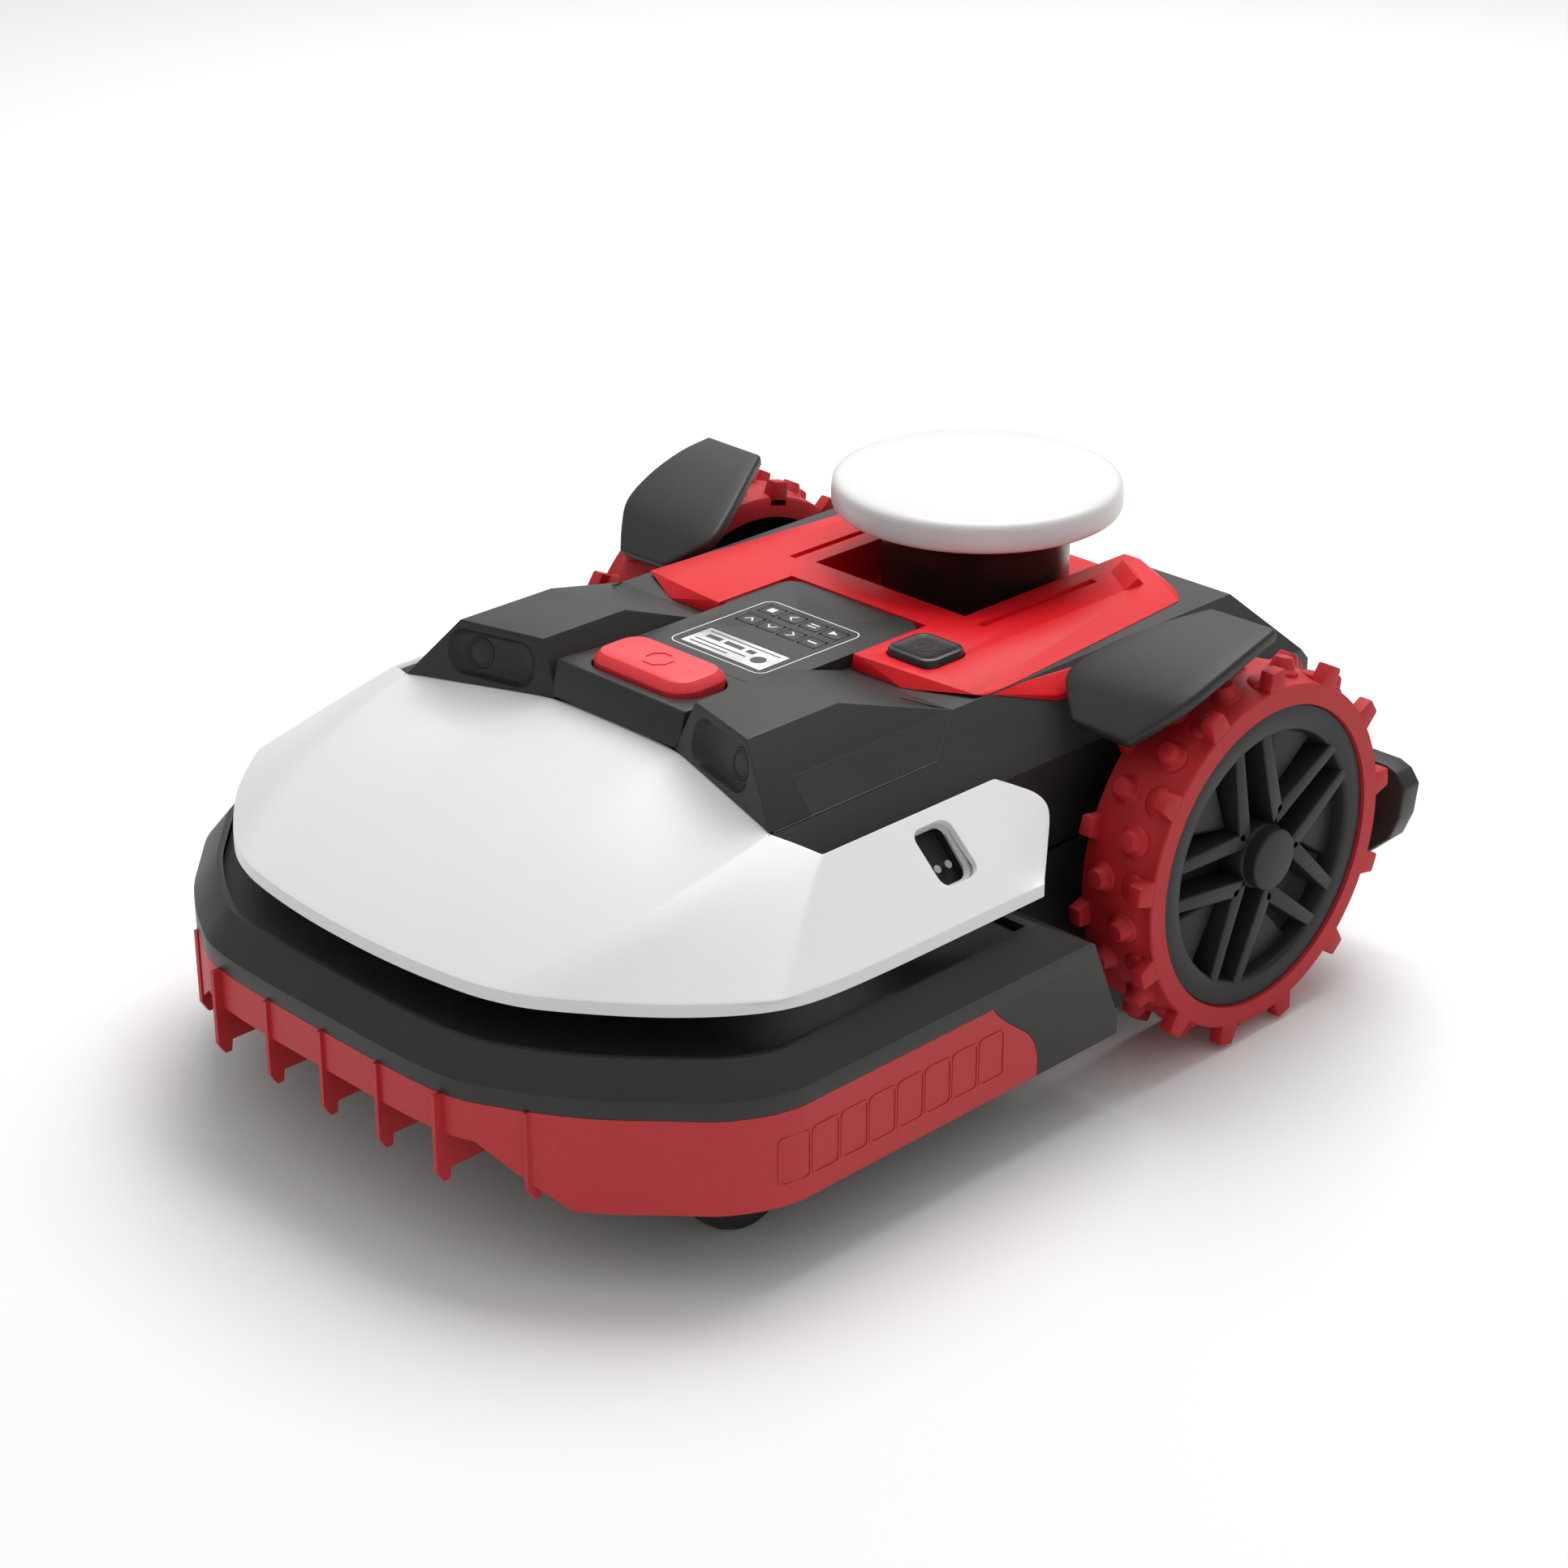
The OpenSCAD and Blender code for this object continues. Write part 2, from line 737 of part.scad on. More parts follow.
module antenna_neck() {
    color(black) translate([0, axle_y + 7.3, 0]) difference() {
        rotate_extrude($fn = 96) polygon(concat(
            [[0, trough_z + wall], [neck_r, trough_z + wall], [neck_r, 238]],
            [for (i = [1:5]) [neck_r + 6 * (1 - cos(i * 18)), 238 + 15.7 * sin(i * 18)]],
            [[0, antenna_z]]
        ));
        translate([0, 0, trough_z + 6]) cylinder(r = neck_r - 4, h = 40);
    }
}

module antenna_disc() {
    dome = 3;
    fillet = 9;
    color(hood_white) translate([0, axle_y + 7.3, antenna_z]) difference() {
        rotate_extrude($fn = 120) polygon(concat(
            [[0, 0], [antenna_r - 2, 0], [antenna_r, 2]],
            [for (i = [0:5]) [
                antenna_r - fillet + fillet * cos(i * 16),
                antenna_t - dome - fillet + fillet * sin(i * 16)
            ]],
            [[antenna_r * 0.5, antenna_t - 0.8], [0, antenna_t]]
        ));
        translate([0, 0, 3]) cylinder(r = antenna_r - 12, h = antenna_t - 9);
        light_places() translate([0, 0, -0.01]) cylinder(r = 1.6, h = 5);
    }
}

module status_lights() {
    color([0.3, 0.75, 0.35]) translate([0, axle_y + 7.3, antenna_z]) {
        light_places() cylinder(r = 1.6, h = 0.6);
    }
}

// Places of the status lights near the rear rim of the antenna
module light_places() {
    for (a = [76, 96, 114]) rotate(a) translate([68, 0, antenna_t - 2.7]) children();
}

// Mudguard that rises over one rear wheel
module fender() {
    color(shell_grey) difference() {
        union() {
            hull() {
                corner([137, 98, 216.5]);
                corner([159, 78, 199]);
                corner([197, 78, 198]);
                corner([216, 100, 220]);
                corner([152, 96, 190]);
                corner([194, 83, 194]);
                corner([212, 106, 214]);
                corner([140, 106, 205]);
            }
            hull() {
                corner([137, 98, 216.5]);
                corner([216, 100, 220]);
                corner([219, 173, 242]);
                corner([174, 175, 241]);
                corner([219, 173, 233]);
                corner([174, 176, 232]);
                corner([212, 106, 214]);
                corner([140, 106, 205]);
            }
            // inner side wall down to the deck
            hull() {
                corner([137, 98, 216]);
                corner([140, 98, 216]);
                corner([174, 175, 240]);
                corner([171, 177, 240]);
                corner([141, 112, 188]);
                corner([150, 110, 184]);
                corner([162, 172, 176]);
                corner([152, 176, 182]);
            }
        }
        // room for the wheel with its teeth
        translate([0, axle_y, axle_z]) x_rod(166, 240, wheel_r + 8);
        along_y(0, 300) body_section(-0.3);
        translate([0, 0, -0.3]) deck_edge();
    }
}

// Sloping side of the deck, which the fenders stand against
module deck_edge() {
    hull() {
        corner([96, 38, panel_z + 1.6]);
        corner([96, 225, panel_z + 1.6]);
        corner([126.6, 38, roof_z + 2.6]);
        corner([140, 90, 204.4]);
        corner([140, 215, 204.4]);
        corner([140, 90, 199]);
        corner([140, 215, 199]);
        corner([96, 38, 190]);
        corner([96, 225, 190]);
    }
}

// ---- wheels ----

module tooth(r0, r1, x, w, a, half_base, half_tip) {
    rotate([a, 0, 0]) translate([x, 0, 0]) rotate([90, 0, 90]) linear_extrude(w) polygon([
        [-half_base, r0], [-half_tip, r1], [half_tip, r1], [half_base, r0]
    ]);
}

module tyre() {
    step = 360 / tooth_count;
    root = wheel_r - 8.5;
    color(tyre_red) translate([0, axle_y, axle_z]) {
        difference() {
            union() {
                x_rod(tyre_in, tyre_out, root - 2);
                x_rod(tyre_in + 3, tyre_out - 3, root);
                for (i = [0:tooth_count - 1]) {
                    tooth(root - 5, wheel_r, tyre_out - 9, 9, i * step, 8, 5.5);
                    tooth(root - 5, wheel_r, tyre_in, 8, (i + 0.5) * step, 8, 5.5);
                    rotate([(i + 0.5) * step, 0, 0]) translate([tyre_mid + 7, 0, root - 3]) {
                        cylinder(r1 = 7.5, r2 = 5, h = 10);
                    }
                    rotate([i * step, 0, 0]) translate([tyre_mid - 8, 0, root - 3]) {
                        cylinder(r1 = 7.5, r2 = 5, h = 10);
                    }
                }
            }
            x_rod(tyre_in - 1, tyre_out + 1, rim_r);
        }
    }
}

module rim() {
    color(hub_grey) translate([0, axle_y, axle_z]) difference() {
        union() {
            difference() {
                x_rod(tyre_in + 2, tyre_out - 0.8, rim_r - 0.01);
                x_rod(tyre_in, 205, rim_r - 4);
                x_rod(213, tyre_out, rim_r - 6);
            }
            x_rod(176, 222, 17);
            for (i = [0:4], s = [-9, 9]) rotate([i * 72 + s, 0, 0]) {
                translate([210, -4, 12]) cube([11, 8, rim_r - 17]);
            }
            x_rod(221, 223.5, 15);
        }
        x_rod(170, 218, axle_r);
    }
}

module axle() {
    color(steel) translate([0, axle_y, axle_z]) x_rod(124, 218, axle_r);
}

module caster_fork() {
    arm_x = caster_width / 2 + 2;
    color(hub_grey) translate([caster_x, caster_y, 0]) {
        translate([0, 0, 76]) cylinder(r = stem_r, h = 34);
        translate([-arm_x - 4, -9, 74]) cube([2 * arm_x + 8, trail + 18, 5]);
        for (x = [-arm_x - 4, arm_x]) {
            translate([x, trail - 7, caster_r]) cube([4, 14, 42]);
            translate([x, trail, caster_r]) rotate([0, 90, 0]) cylinder(r = 7, h = 4);
        }
        translate([-arm_x, trail, caster_r]) rotate([0, 90, 0]) cylinder(r = 4, h = 2 * arm_x);
    }
}

module caster_wheel() {
    half = caster_width / 2;
    edge = 9;
    color(black) translate([caster_x, caster_y + trail, caster_r]) rotate([0, 90, 0]) {
        rotate_extrude($fn = 72) polygon(concat(
            [[4 + run_gap, -half], [caster_r - edge, -half]],
            [for (i = [1:5]) [
                caster_r - edge + edge * sin(i * 18), -half + edge - edge * cos(i * 18)
            ]],
            [for (i = [0:4]) [
                caster_r - edge + edge * cos(i * 18), half - edge + edge * sin(i * 18)
            ]],
            [[caster_r - edge, half], [4 + run_gap, half]]
        ));
    }
}

// ---- cutting system ----

// Plate that rides on the guide rods and holds the blade motor
module carriage() {
    color(steel) translate([0, disc_y, 0]) difference() {
        union() {
            translate([-rod_x - 9, -14, 110]) cube([2 * rod_x + 18, 28, 10]);
            translate([-14, 0, 110]) cube([28, 74, 10]);
        }
        translate([0, 0, 100]) cylinder(r = 41.2, h = 30);
        for (x = [-rod_x, rod_x]) translate([x, 0, 100]) cylinder(r = rod_r + run_gap, h = 30);
        translate([0, screw_y - disc_y, 100]) cylinder(r = screw_r + run_gap, h = 30);
    }
    color(steel) translate([0, disc_y, 110]) difference() {
        cylinder(r = 46, h = 10);
        translate([0, 0, -1]) cylinder(r = 41.2, h = 12);
    }
}

module lead_screw() {
    color(steel) translate([0, screw_y, 88]) cylinder(r = screw_r, h = 60);
}

module blade_motor() {
    color(black) translate([0, disc_y, 0]) difference() {
        union() {
            translate([0, 0, cut_z + 48]) cylinder(r = 41.2, h = 42);
            translate([0, 0, cut_z + 40]) cylinder(r = 18, h = 8);
        }
        translate([0, 0, cut_z + 30]) cylinder(r = 4 + run_gap, h = 40);
    }
}

module blade_disc() {
    color(shell_grey) translate([0, disc_y, cut_z]) difference() {
        union() {
            cylinder(r = disc_r, h = 3);
            cylinder(r = 30, h = 12);
            cylinder(r = 4, h = 66);
            translate([0, 0, -9]) cylinder(r = 8, h = 10);
        }
        for (i = [0:blade_count - 1]) rotate(i * 120) {
            translate([blade_pivot_r, 0, -1]) cylinder(r = 2.5, h = 6);
        }
        for (i = [0:5]) rotate(i * 60 + 30) translate([60, 0, -1]) cylinder(r = 9, h = 6);
    }
}

module blade_screws() {
    color(steel) translate([0, disc_y, cut_z]) for (i = [0:blade_count - 1]) rotate(i * 120) {
        translate([blade_pivot_r, 0, -2.2]) cylinder(r = 2.5, h = 5.2);
        translate([blade_pivot_r, 0, -3.6]) cylinder(r = 5, h = 1.4);
    }
}

module blade(i) {
    color([0.75, 0.76, 0.78]) translate([0, disc_y, cut_z]) rotate(i * 120) {
        translate([blade_pivot_r, 0, -1.6]) difference() {
            union() {
                cylinder(r = 7, h = 1);
                translate([0, -7, 0]) cube([blade_len - 5, 14, 1]);
            }
            translate([0, 0, -1]) cylinder(r = 2.5 + run_gap, h = 3);
        }
    }
}

// Free-turning plate that slides over the turf under the disc
module skid_plate() {
    color(hub_grey) translate([0, disc_y, cut_z - 9]) difference() {
        union() {
            cylinder(r = 42, h = 2);
            cylinder(r = 14, h = 5);
        }
        translate([0, 0, -1]) cylinder(r = 8 + run_gap, h = 8);
    }
}

lower_housing();
front_guard();
inner_cover();
battery_pack();
main_board();
gearbox();  // gearbox_left
mirror([1, 0, 0]) gearbox();  // gearbox_right
rear_guard();
battery_hatch();
caster_bushes();
guide_rods();
height_motor();
cover_posts();
housing_screws();
floating_frame();
hood();
upper_body();
pod();  // pod_left
mirror([1, 0, 0]) pod();  // pod_right
range_sensors();
stop_housing();
control_panel();
display();
deck_cover();
antenna_neck();
antenna_disc();
status_lights();
fender();  // fender_left
mirror([1, 0, 0]) fender();  // fender_right
charge_socket();
charge_pins();
stop_button();
power_button();
for (i = [1:8]) key(i - 1);
tyre();  // tyre_left
mirror([1, 0, 0]) tyre();  // tyre_right
rim();  // rim_left
mirror([1, 0, 0]) rim();  // rim_right
axle();  // axle_left
mirror([1, 0, 0]) axle();  // axle_right
caster_fork();  // caster_fork_left
mirror([1, 0, 0]) caster_fork();  // caster_fork_right
caster_wheel();  // caster_wheel_left
mirror([1, 0, 0]) caster_wheel();  // caster_wheel_right
carriage();
lead_screw();
blade_motor();
blade_disc();
blade_screws();
for (i = [1:3]) blade(i - 1);
skid_plate();
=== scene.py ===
import json
import math
import bmesh
import bpy
from mathutils import Matrix, Vector
from mathutils.bvhtree import BVHTree


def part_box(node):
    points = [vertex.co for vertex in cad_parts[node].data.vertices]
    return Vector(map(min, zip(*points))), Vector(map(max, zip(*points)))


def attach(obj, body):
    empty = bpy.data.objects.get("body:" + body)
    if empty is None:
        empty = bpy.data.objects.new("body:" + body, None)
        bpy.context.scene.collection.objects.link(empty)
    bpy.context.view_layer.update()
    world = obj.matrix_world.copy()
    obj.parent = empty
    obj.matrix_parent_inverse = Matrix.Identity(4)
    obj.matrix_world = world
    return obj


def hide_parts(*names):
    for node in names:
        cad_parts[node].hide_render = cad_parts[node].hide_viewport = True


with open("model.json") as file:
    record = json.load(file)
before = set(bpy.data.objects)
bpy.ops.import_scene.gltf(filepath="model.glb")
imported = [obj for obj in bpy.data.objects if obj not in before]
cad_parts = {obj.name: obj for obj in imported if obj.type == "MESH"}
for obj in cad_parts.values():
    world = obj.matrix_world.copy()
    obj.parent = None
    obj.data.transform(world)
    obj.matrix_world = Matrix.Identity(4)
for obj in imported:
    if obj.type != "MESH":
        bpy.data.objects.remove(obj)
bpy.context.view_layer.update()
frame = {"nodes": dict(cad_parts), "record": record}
nodes = frame["nodes"]
nodeBody = {n: b for b, ns in frame["record"]["behaviour"]["bodies"].items() for n in ns}
nodeSlot = {s["node"]: s["material_slot"] for s in frame["record"]["subparts"]}
sides = ((1, "left"), (-1, "right"))
mm = 0.001
print("frame loaded:", len(nodes), "parts")


def newGroup(name, inputs, outputs):
    group = bpy.data.node_groups.new(name, "ShaderNodeTree")
    for socketName, kind, value in inputs:
        socket = group.interface.new_socket(name=socketName, in_out="INPUT", socket_type=kind)
        socket.default_value = value
    for socketName, kind in outputs:
        group.interface.new_socket(name=socketName, in_out="OUTPUT", socket_type=kind)
    return group, group.nodes.new("NodeGroupInput"), group.nodes.new("NodeGroupOutput")


def addNode(tree, kind, values=None, **settings):
    node = tree.nodes.new(kind)
    for key, value in settings.items():
        setattr(node, key, value)
    for key, value in (values or {}).items():
        node.inputs[key].default_value = value
    return node


def mapRange(tree, source, low, high, toLow, toHigh):
    node = addNode(tree, "ShaderNodeMapRange", {1: low, 2: high, 3: toLow, 4: toHigh})
    tree.links.new(source, node.inputs[0])
    return node.outputs[0]


moulded = {"driftScale": 14.0, "speckScale": 420.0, "driftRange": (0.35, 0.75), "speckRange": (0.4, 0.7)}


# Fine spark-eroded grain of moulded plastic, with slow changes of gloss and shade
def makeMouldedGroup():
    group, gIn, gOut = newGroup(
        "mouldedSurface",
        [("Grain Scale", "NodeSocketFloat", 900.0), ("Grain Depth", "NodeSocketFloat", 1.0),
         ("Base", "NodeSocketColor", (0.1, 0.1, 0.1, 1)), ("Worn", "NodeSocketColor", (0.2, 0.2, 0.2, 1)),
         ("Gloss Low", "NodeSocketFloat", 0.4), ("Gloss High", "NodeSocketFloat", 0.5)],
        [("Color", "NodeSocketColor"), ("Roughness", "NodeSocketFloat"), ("Height", "NodeSocketFloat")])
    link = group.links.new
    place = addNode(group, "ShaderNodeTexCoord")
    grain = addNode(group, "ShaderNodeTexNoise", {"Detail": 3.0, "Roughness": 0.6})
    pits = addNode(group, "ShaderNodeTexVoronoi", {"Randomness": 1.0})
    drift = addNode(group, "ShaderNodeTexNoise", {"Detail": 4.0, "Roughness": 0.55})
    specks = addNode(group, "ShaderNodeTexNoise", {"Detail": 2.0, "Roughness": 0.7})
    drift.inputs["Scale"].default_value = moulded["driftScale"]
    specks.inputs["Scale"].default_value = moulded["speckScale"]
    for tex in (grain, pits, drift, specks):
        link(place.outputs["Object"], tex.inputs["Vector"])
    link(gIn.outputs["Grain Scale"], grain.inputs["Scale"])
    link(gIn.outputs["Grain Scale"], pits.inputs["Scale"])
    joined = addNode(group, "ShaderNodeMath", operation="ADD")
    link(grain.outputs["Fac"], joined.inputs[0])
    link(pits.outputs["Distance"], joined.inputs[1])
    deep = addNode(group, "ShaderNodeMath", operation="MULTIPLY")
    link(joined.outputs[0], deep.inputs[0])
    link(gIn.outputs["Grain Depth"], deep.inputs[1])
    link(deep.outputs[0], gOut.inputs["Height"])
    mask = addNode(group, "ShaderNodeMath", operation="MULTIPLY")
    link(mapRange(group, drift.outputs["Fac"], *moulded["driftRange"], 0.0, 1.0), mask.inputs[0])
    link(mapRange(group, specks.outputs["Fac"], *moulded["speckRange"], 0.25, 1.0), mask.inputs[1])
    shade = addNode(group, "ShaderNodeMix", data_type="RGBA")
    link(mask.outputs[0], shade.inputs[0])
    link(gIn.outputs["Base"], shade.inputs[6])
    link(gIn.outputs["Worn"], shade.inputs[7])
    link(shade.outputs[2], gOut.inputs["Color"])
    gloss = addNode(group, "ShaderNodeMix", data_type="FLOAT")
    link(drift.outputs["Fac"], gloss.inputs[0])
    link(gIn.outputs["Gloss Low"], gloss.inputs[2])
    link(gIn.outputs["Gloss High"], gloss.inputs[3])
    link(gloss.outputs[0], gOut.inputs["Roughness"])
    return group


# Turning or rolling lines of machined steel
def makeMetalGroup():
    group, gIn, gOut = newGroup(
        "machinedSurface",
        [("Base", "NodeSocketColor", (0.5, 0.5, 0.5, 1)), ("Dull", "NodeSocketColor", (0.3, 0.3, 0.3, 1)),
         ("Stretch", "NodeSocketVector", (40, 40, 900))],
        [("Color", "NodeSocketColor"), ("Roughness", "NodeSocketFloat"), ("Height", "NodeSocketFloat")])
    link = group.links.new
    place = addNode(group, "ShaderNodeTexCoord")
    stretched = addNode(group, "ShaderNodeVectorMath", operation="MULTIPLY")
    link(place.outputs["Object"], stretched.inputs[0])
    link(gIn.outputs["Stretch"], stretched.inputs[1])
    lines = addNode(group, "ShaderNodeTexNoise", {"Scale": 1.0, "Detail": 5.0, "Roughness": 0.65})
    link(stretched.outputs[0], lines.inputs["Vector"])
    patches = addNode(group, "ShaderNodeTexNoise", {"Scale": 55.0, "Detail": 4.0})
    link(place.outputs["Object"], patches.inputs["Vector"])
    mask = mapRange(group, patches.outputs["Fac"], 0.4, 0.75, 0.0, 0.8)
    shade = addNode(group, "ShaderNodeMix", data_type="RGBA")
    link(mask, shade.inputs[0])
    link(gIn.outputs["Base"], shade.inputs[6])
    link(gIn.outputs["Dull"], shade.inputs[7])
    link(shade.outputs[2], gOut.inputs["Color"])
    link(mapRange(group, lines.outputs["Fac"], 0.2, 0.8, 0.22, 0.5), gOut.inputs["Roughness"])
    link(lines.outputs["Fac"], gOut.inputs["Height"])
    return group


mouldedGroup = makeMouldedGroup()
metalGroup = makeMetalGroup()


def startMaterial(name):
    material = bpy.data.materials.new(name)
    material.use_nodes = True
    tree = material.node_tree
    return material, tree, tree.nodes["Principled BSDF"]


def addBump(tree, shader, height, strength, distance):
    bump = addNode(tree, "ShaderNodeBump", {"Strength": strength, "Distance": distance})
    tree.links.new(height, bump.inputs["Height"])
    tree.links.new(bump.outputs["Normal"], shader.inputs["Normal"])


def plastic(name, base, worn, gloss, grain=(900.0, 1.0), bump=0.12, coat=0.0, specular=0.5):
    material, tree, shader = startMaterial(name)
    surface = addNode(tree, "ShaderNodeGroup", node_tree=mouldedGroup)
    surface.inputs["Grain Scale"].default_value, surface.inputs["Grain Depth"].default_value = grain
    surface.inputs["Base"].default_value = (*base, 1)
    surface.inputs["Worn"].default_value = (*worn, 1)
    surface.inputs["Gloss Low"].default_value, surface.inputs["Gloss High"].default_value = gloss
    tree.links.new(surface.outputs["Color"], shader.inputs["Base Color"])
    tree.links.new(surface.outputs["Roughness"], shader.inputs["Roughness"])
    shader.inputs["Specular IOR Level"].default_value = specular
    shader.inputs["Coat Weight"].default_value = coat
    shader.inputs["Coat Roughness"].default_value = 0.12
    addBump(tree, shader, surface.outputs["Height"], bump, 0.0002)
    return material


def metal(name, base, dull, stretch):
    material, tree, shader = startMaterial(name)
    surface = addNode(tree, "ShaderNodeGroup", node_tree=metalGroup)
    surface.inputs["Base"].default_value = (*base, 1)
    surface.inputs["Dull"].default_value = (*dull, 1)
    surface.inputs["Stretch"].default_value = stretch
    tree.links.new(surface.outputs["Color"], shader.inputs["Base Color"])
    tree.links.new(surface.outputs["Roughness"], shader.inputs["Roughness"])
    shader.inputs["Metallic"].default_value = 1.0
    addBump(tree, shader, surface.outputs["Height"], 0.15, 0.0001)
    return material


def lamp(name, color, strength):
    material, tree, shader = startMaterial(name)
    glow = addNode(tree, "ShaderNodeTexNoise", {"Scale": 300.0})
    place = addNode(tree, "ShaderNodeTexCoord")
    tree.links.new(place.outputs["Object"], glow.inputs["Vector"])
    mix = addNode(tree, "ShaderNodeMix", data_type="RGBA")
    tree.links.new(glow.outputs["Fac"], mix.inputs[0])
    mix.inputs[6].default_value = (*color, 1)
    mix.inputs[7].default_value = (*[c * 0.8 for c in color], 1)
    tree.links.new(mix.outputs[2], shader.inputs["Base Color"])
    tree.links.new(mix.outputs[2], shader.inputs["Emission Color"])
    shader.inputs["Emission Strength"].default_value = strength
    shader.inputs["Roughness"].default_value = 0.25
    return material


# Slot: name, base, worn, roughness low and high, grain scale and depth, bump, then coat and specular if set
plastics = {
    "shell_dark": ("darkShell", (0.024, 0.023, 0.0225), (0.030, 0.029, 0.028),
        (0.40, 0.47), (1500, 1.0), 0.10, 0.0, 0.36),
    "guard_red": ("guardRed", (0.50, 0.024, 0.030), (0.54, 0.034, 0.040),
        (0.46, 0.55), (1300, 1.0), 0.12, 0.0, 0.4),
    "hood_white": ("hoodWhite", (0.78, 0.765, 0.755), (0.80, 0.79, 0.78),
        (0.28, 0.36), (1800, 0.6), 0.05, 0.08),
    "deck_red": ("deckRed", (0.72, 0.005, 0.012), (0.75, 0.009, 0.017),
        (0.44, 0.52), (1500, 0.8), 0.08, 0.0, 0.3),
    "panel_dark": ("panelDark", (0.026, 0.025, 0.025), (0.031, 0.030, 0.029),
        (0.42, 0.50), (2200, 0.6), 0.06, 0.0, 0.4),
    "display_grey": ("displayFilm", (0.74, 0.75, 0.75), (0.78, 0.79, 0.79),
        (0.12, 0.18), (2600, 0.2), 0.02, 0.5),
    "button_red": ("buttonRed", (0.80, 0.030, 0.042), (0.84, 0.042, 0.055),
        (0.34, 0.42), (1800, 0.6), 0.06, 0.0, 0.5),
    "button_dark": ("buttonDark", (0.020, 0.019, 0.019), (0.026, 0.025, 0.025),
        (0.28, 0.36), (2000, 0.5), 0.05),
    "key_grey": ("keyGrey", (0.028, 0.027, 0.027), (0.034, 0.033, 0.032),
        (0.42, 0.50), (2200, 0.6), 0.06, 0.0, 0.4),
    "tyre_red": ("tyreRed", (0.46, 0.012, 0.018), (0.51, 0.022, 0.029),
        (0.50, 0.62), (700, 1.2), 0.18, 0.0, 0.35),
    "hub_dark": ("hubDark", (0.019, 0.018, 0.018), (0.025, 0.024, 0.024),
        (0.40, 0.48), (1400, 1.0), 0.10, 0.0, 0.25),
    "black_plastic": ("blackPlastic", (0.010, 0.010, 0.010), (0.016, 0.016, 0.016),
        (0.45, 0.55), (1200, 1.0), 0.12),
    "black_rubber": ("blackRubber", (0.011, 0.011, 0.011), (0.022, 0.021, 0.021),
        (0.55, 0.72), (600, 1.4), 0.22),
    "antenna_white": ("antennaWhite", (0.74, 0.725, 0.72), (0.76, 0.75, 0.74),
        (0.30, 0.38), (1800, 0.5), 0.04, 0.1),
    "neck_black": ("neckBlack", (0.010, 0.007, 0.007), (0.014, 0.010, 0.010),
        (0.24, 0.32), (1400, 0.6), 0.05),
    "board_green": ("boardGreen", (0.015, 0.11, 0.045), (0.03, 0.16, 0.07),
        (0.30, 0.45), (900, 1.0), 0.15),
    "sensor_black": ("sensorLens", (0.014, 0.014, 0.015), (0.018, 0.018, 0.019),
        (0.16, 0.24), (2600, 0.2), 0.02, 0.4),
}
metals = {
    "steel": ("turnedSteel", (0.55, 0.55, 0.56), (0.36, 0.36, 0.36), (60, 60, 1400)),
    "blade_steel": ("bladeSteel", (0.60, 0.60, 0.62), (0.42, 0.42, 0.43), (900, 60, 60)),
    "motor_black": ("motorCan", (0.10, 0.10, 0.11), (0.05, 0.05, 0.05), (40, 40, 700)),
}
finishes = {slot: plastic(*values) for slot, values in plastics.items()}
finishes.update({slot: metal(*values) for slot, values in metals.items()})
finishes["lamp_green"] = lamp("lampGreen", (0.10, 0.60, 0.16), 0.6)
printWhite = plastic("printWhite", (0.80, 0.80, 0.79), (0.84, 0.84, 0.83), (0.35, 0.45), (2400, 0.3), 0.03)
printDark = plastic("printDark", (0.03, 0.03, 0.03), (0.045, 0.045, 0.045), (0.35, 0.45), (2400, 0.3), 0.03)
print("finishes made:", len(finishes))

for name, part in nodes.items():
    part.data.materials.clear()
    part.data.materials.append(finishes[nodeSlot[name]])


# All mesh work is in millimetres until a piece is finished
def finishPiece(bm, name, body, slotName, material=None, hides=(), sharp=32, weld=0.004):
    bmesh.ops.remove_doubles(bm, verts=bm.verts, dist=weld)
    bmesh.ops.recalc_face_normals(bm, faces=bm.faces)
    bmesh.ops.scale(bm, vec=(mm, mm, mm), verts=bm.verts)
    mesh = bpy.data.meshes.new(name)
    bm.to_mesh(mesh)
    bm.free()
    mesh.shade_smooth()
    mesh.set_sharp_from_angle(angle=math.radians(sharp))
    piece = bpy.data.objects.new(name, mesh)
    bpy.context.scene.collection.objects.link(piece)
    mesh.materials.append(material or finishes[slotName])
    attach(piece, body)
    if hides:
        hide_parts(*hides)
    return piece


def bevelSharp(bm, width, segments=2, least=28):
    edges = [e for e in bm.edges if e.is_manifold and e.calc_face_angle(0) > math.radians(least)]
    if edges:
        bmesh.ops.bevel(bm, geom=edges, offset=width, offset_type="OFFSET", affect="EDGES",
                        segments=segments, profile=0.5, material=-1, clamp_overlap=True)


def hullOf(points):
    bm = bmesh.new()
    verts = [bm.verts.new(p) for p in points]
    made = bmesh.ops.convex_hull(bm, input=verts)
    spare = [v for v in made["geom_interior"] + made["geom_unused"] if isinstance(v, bmesh.types.BMVert)]
    bmesh.ops.delete(bm, geom=list(set(spare)), context="VERTS")
    bmesh.ops.dissolve_limit(bm, angle_limit=math.radians(2.0), verts=bm.verts, edges=bm.edges)
    bmesh.ops.recalc_face_normals(bm, faces=bm.faces)
    return bm


# A copy of a CAD part, its triangles merged into clean faces
def copyOf(name):
    bm = bmesh.new()
    bm.from_mesh(nodes[name].data)
    bmesh.ops.scale(bm, vec=(1 / mm, 1 / mm, 1 / mm), verts=bm.verts)
    bmesh.ops.remove_doubles(bm, verts=bm.verts, dist=0.01)
    bmesh.ops.dissolve_limit(bm, angle_limit=math.radians(1.2), verts=bm.verts, edges=bm.edges)
    return bm


def refined(name, width, segments=2):
    bm = copyOf(name)
    bevelSharp(bm, width, segments)
    finishPiece(bm, name + "_shell", nodeBody[name], nodeSlot[name], hides=[name])


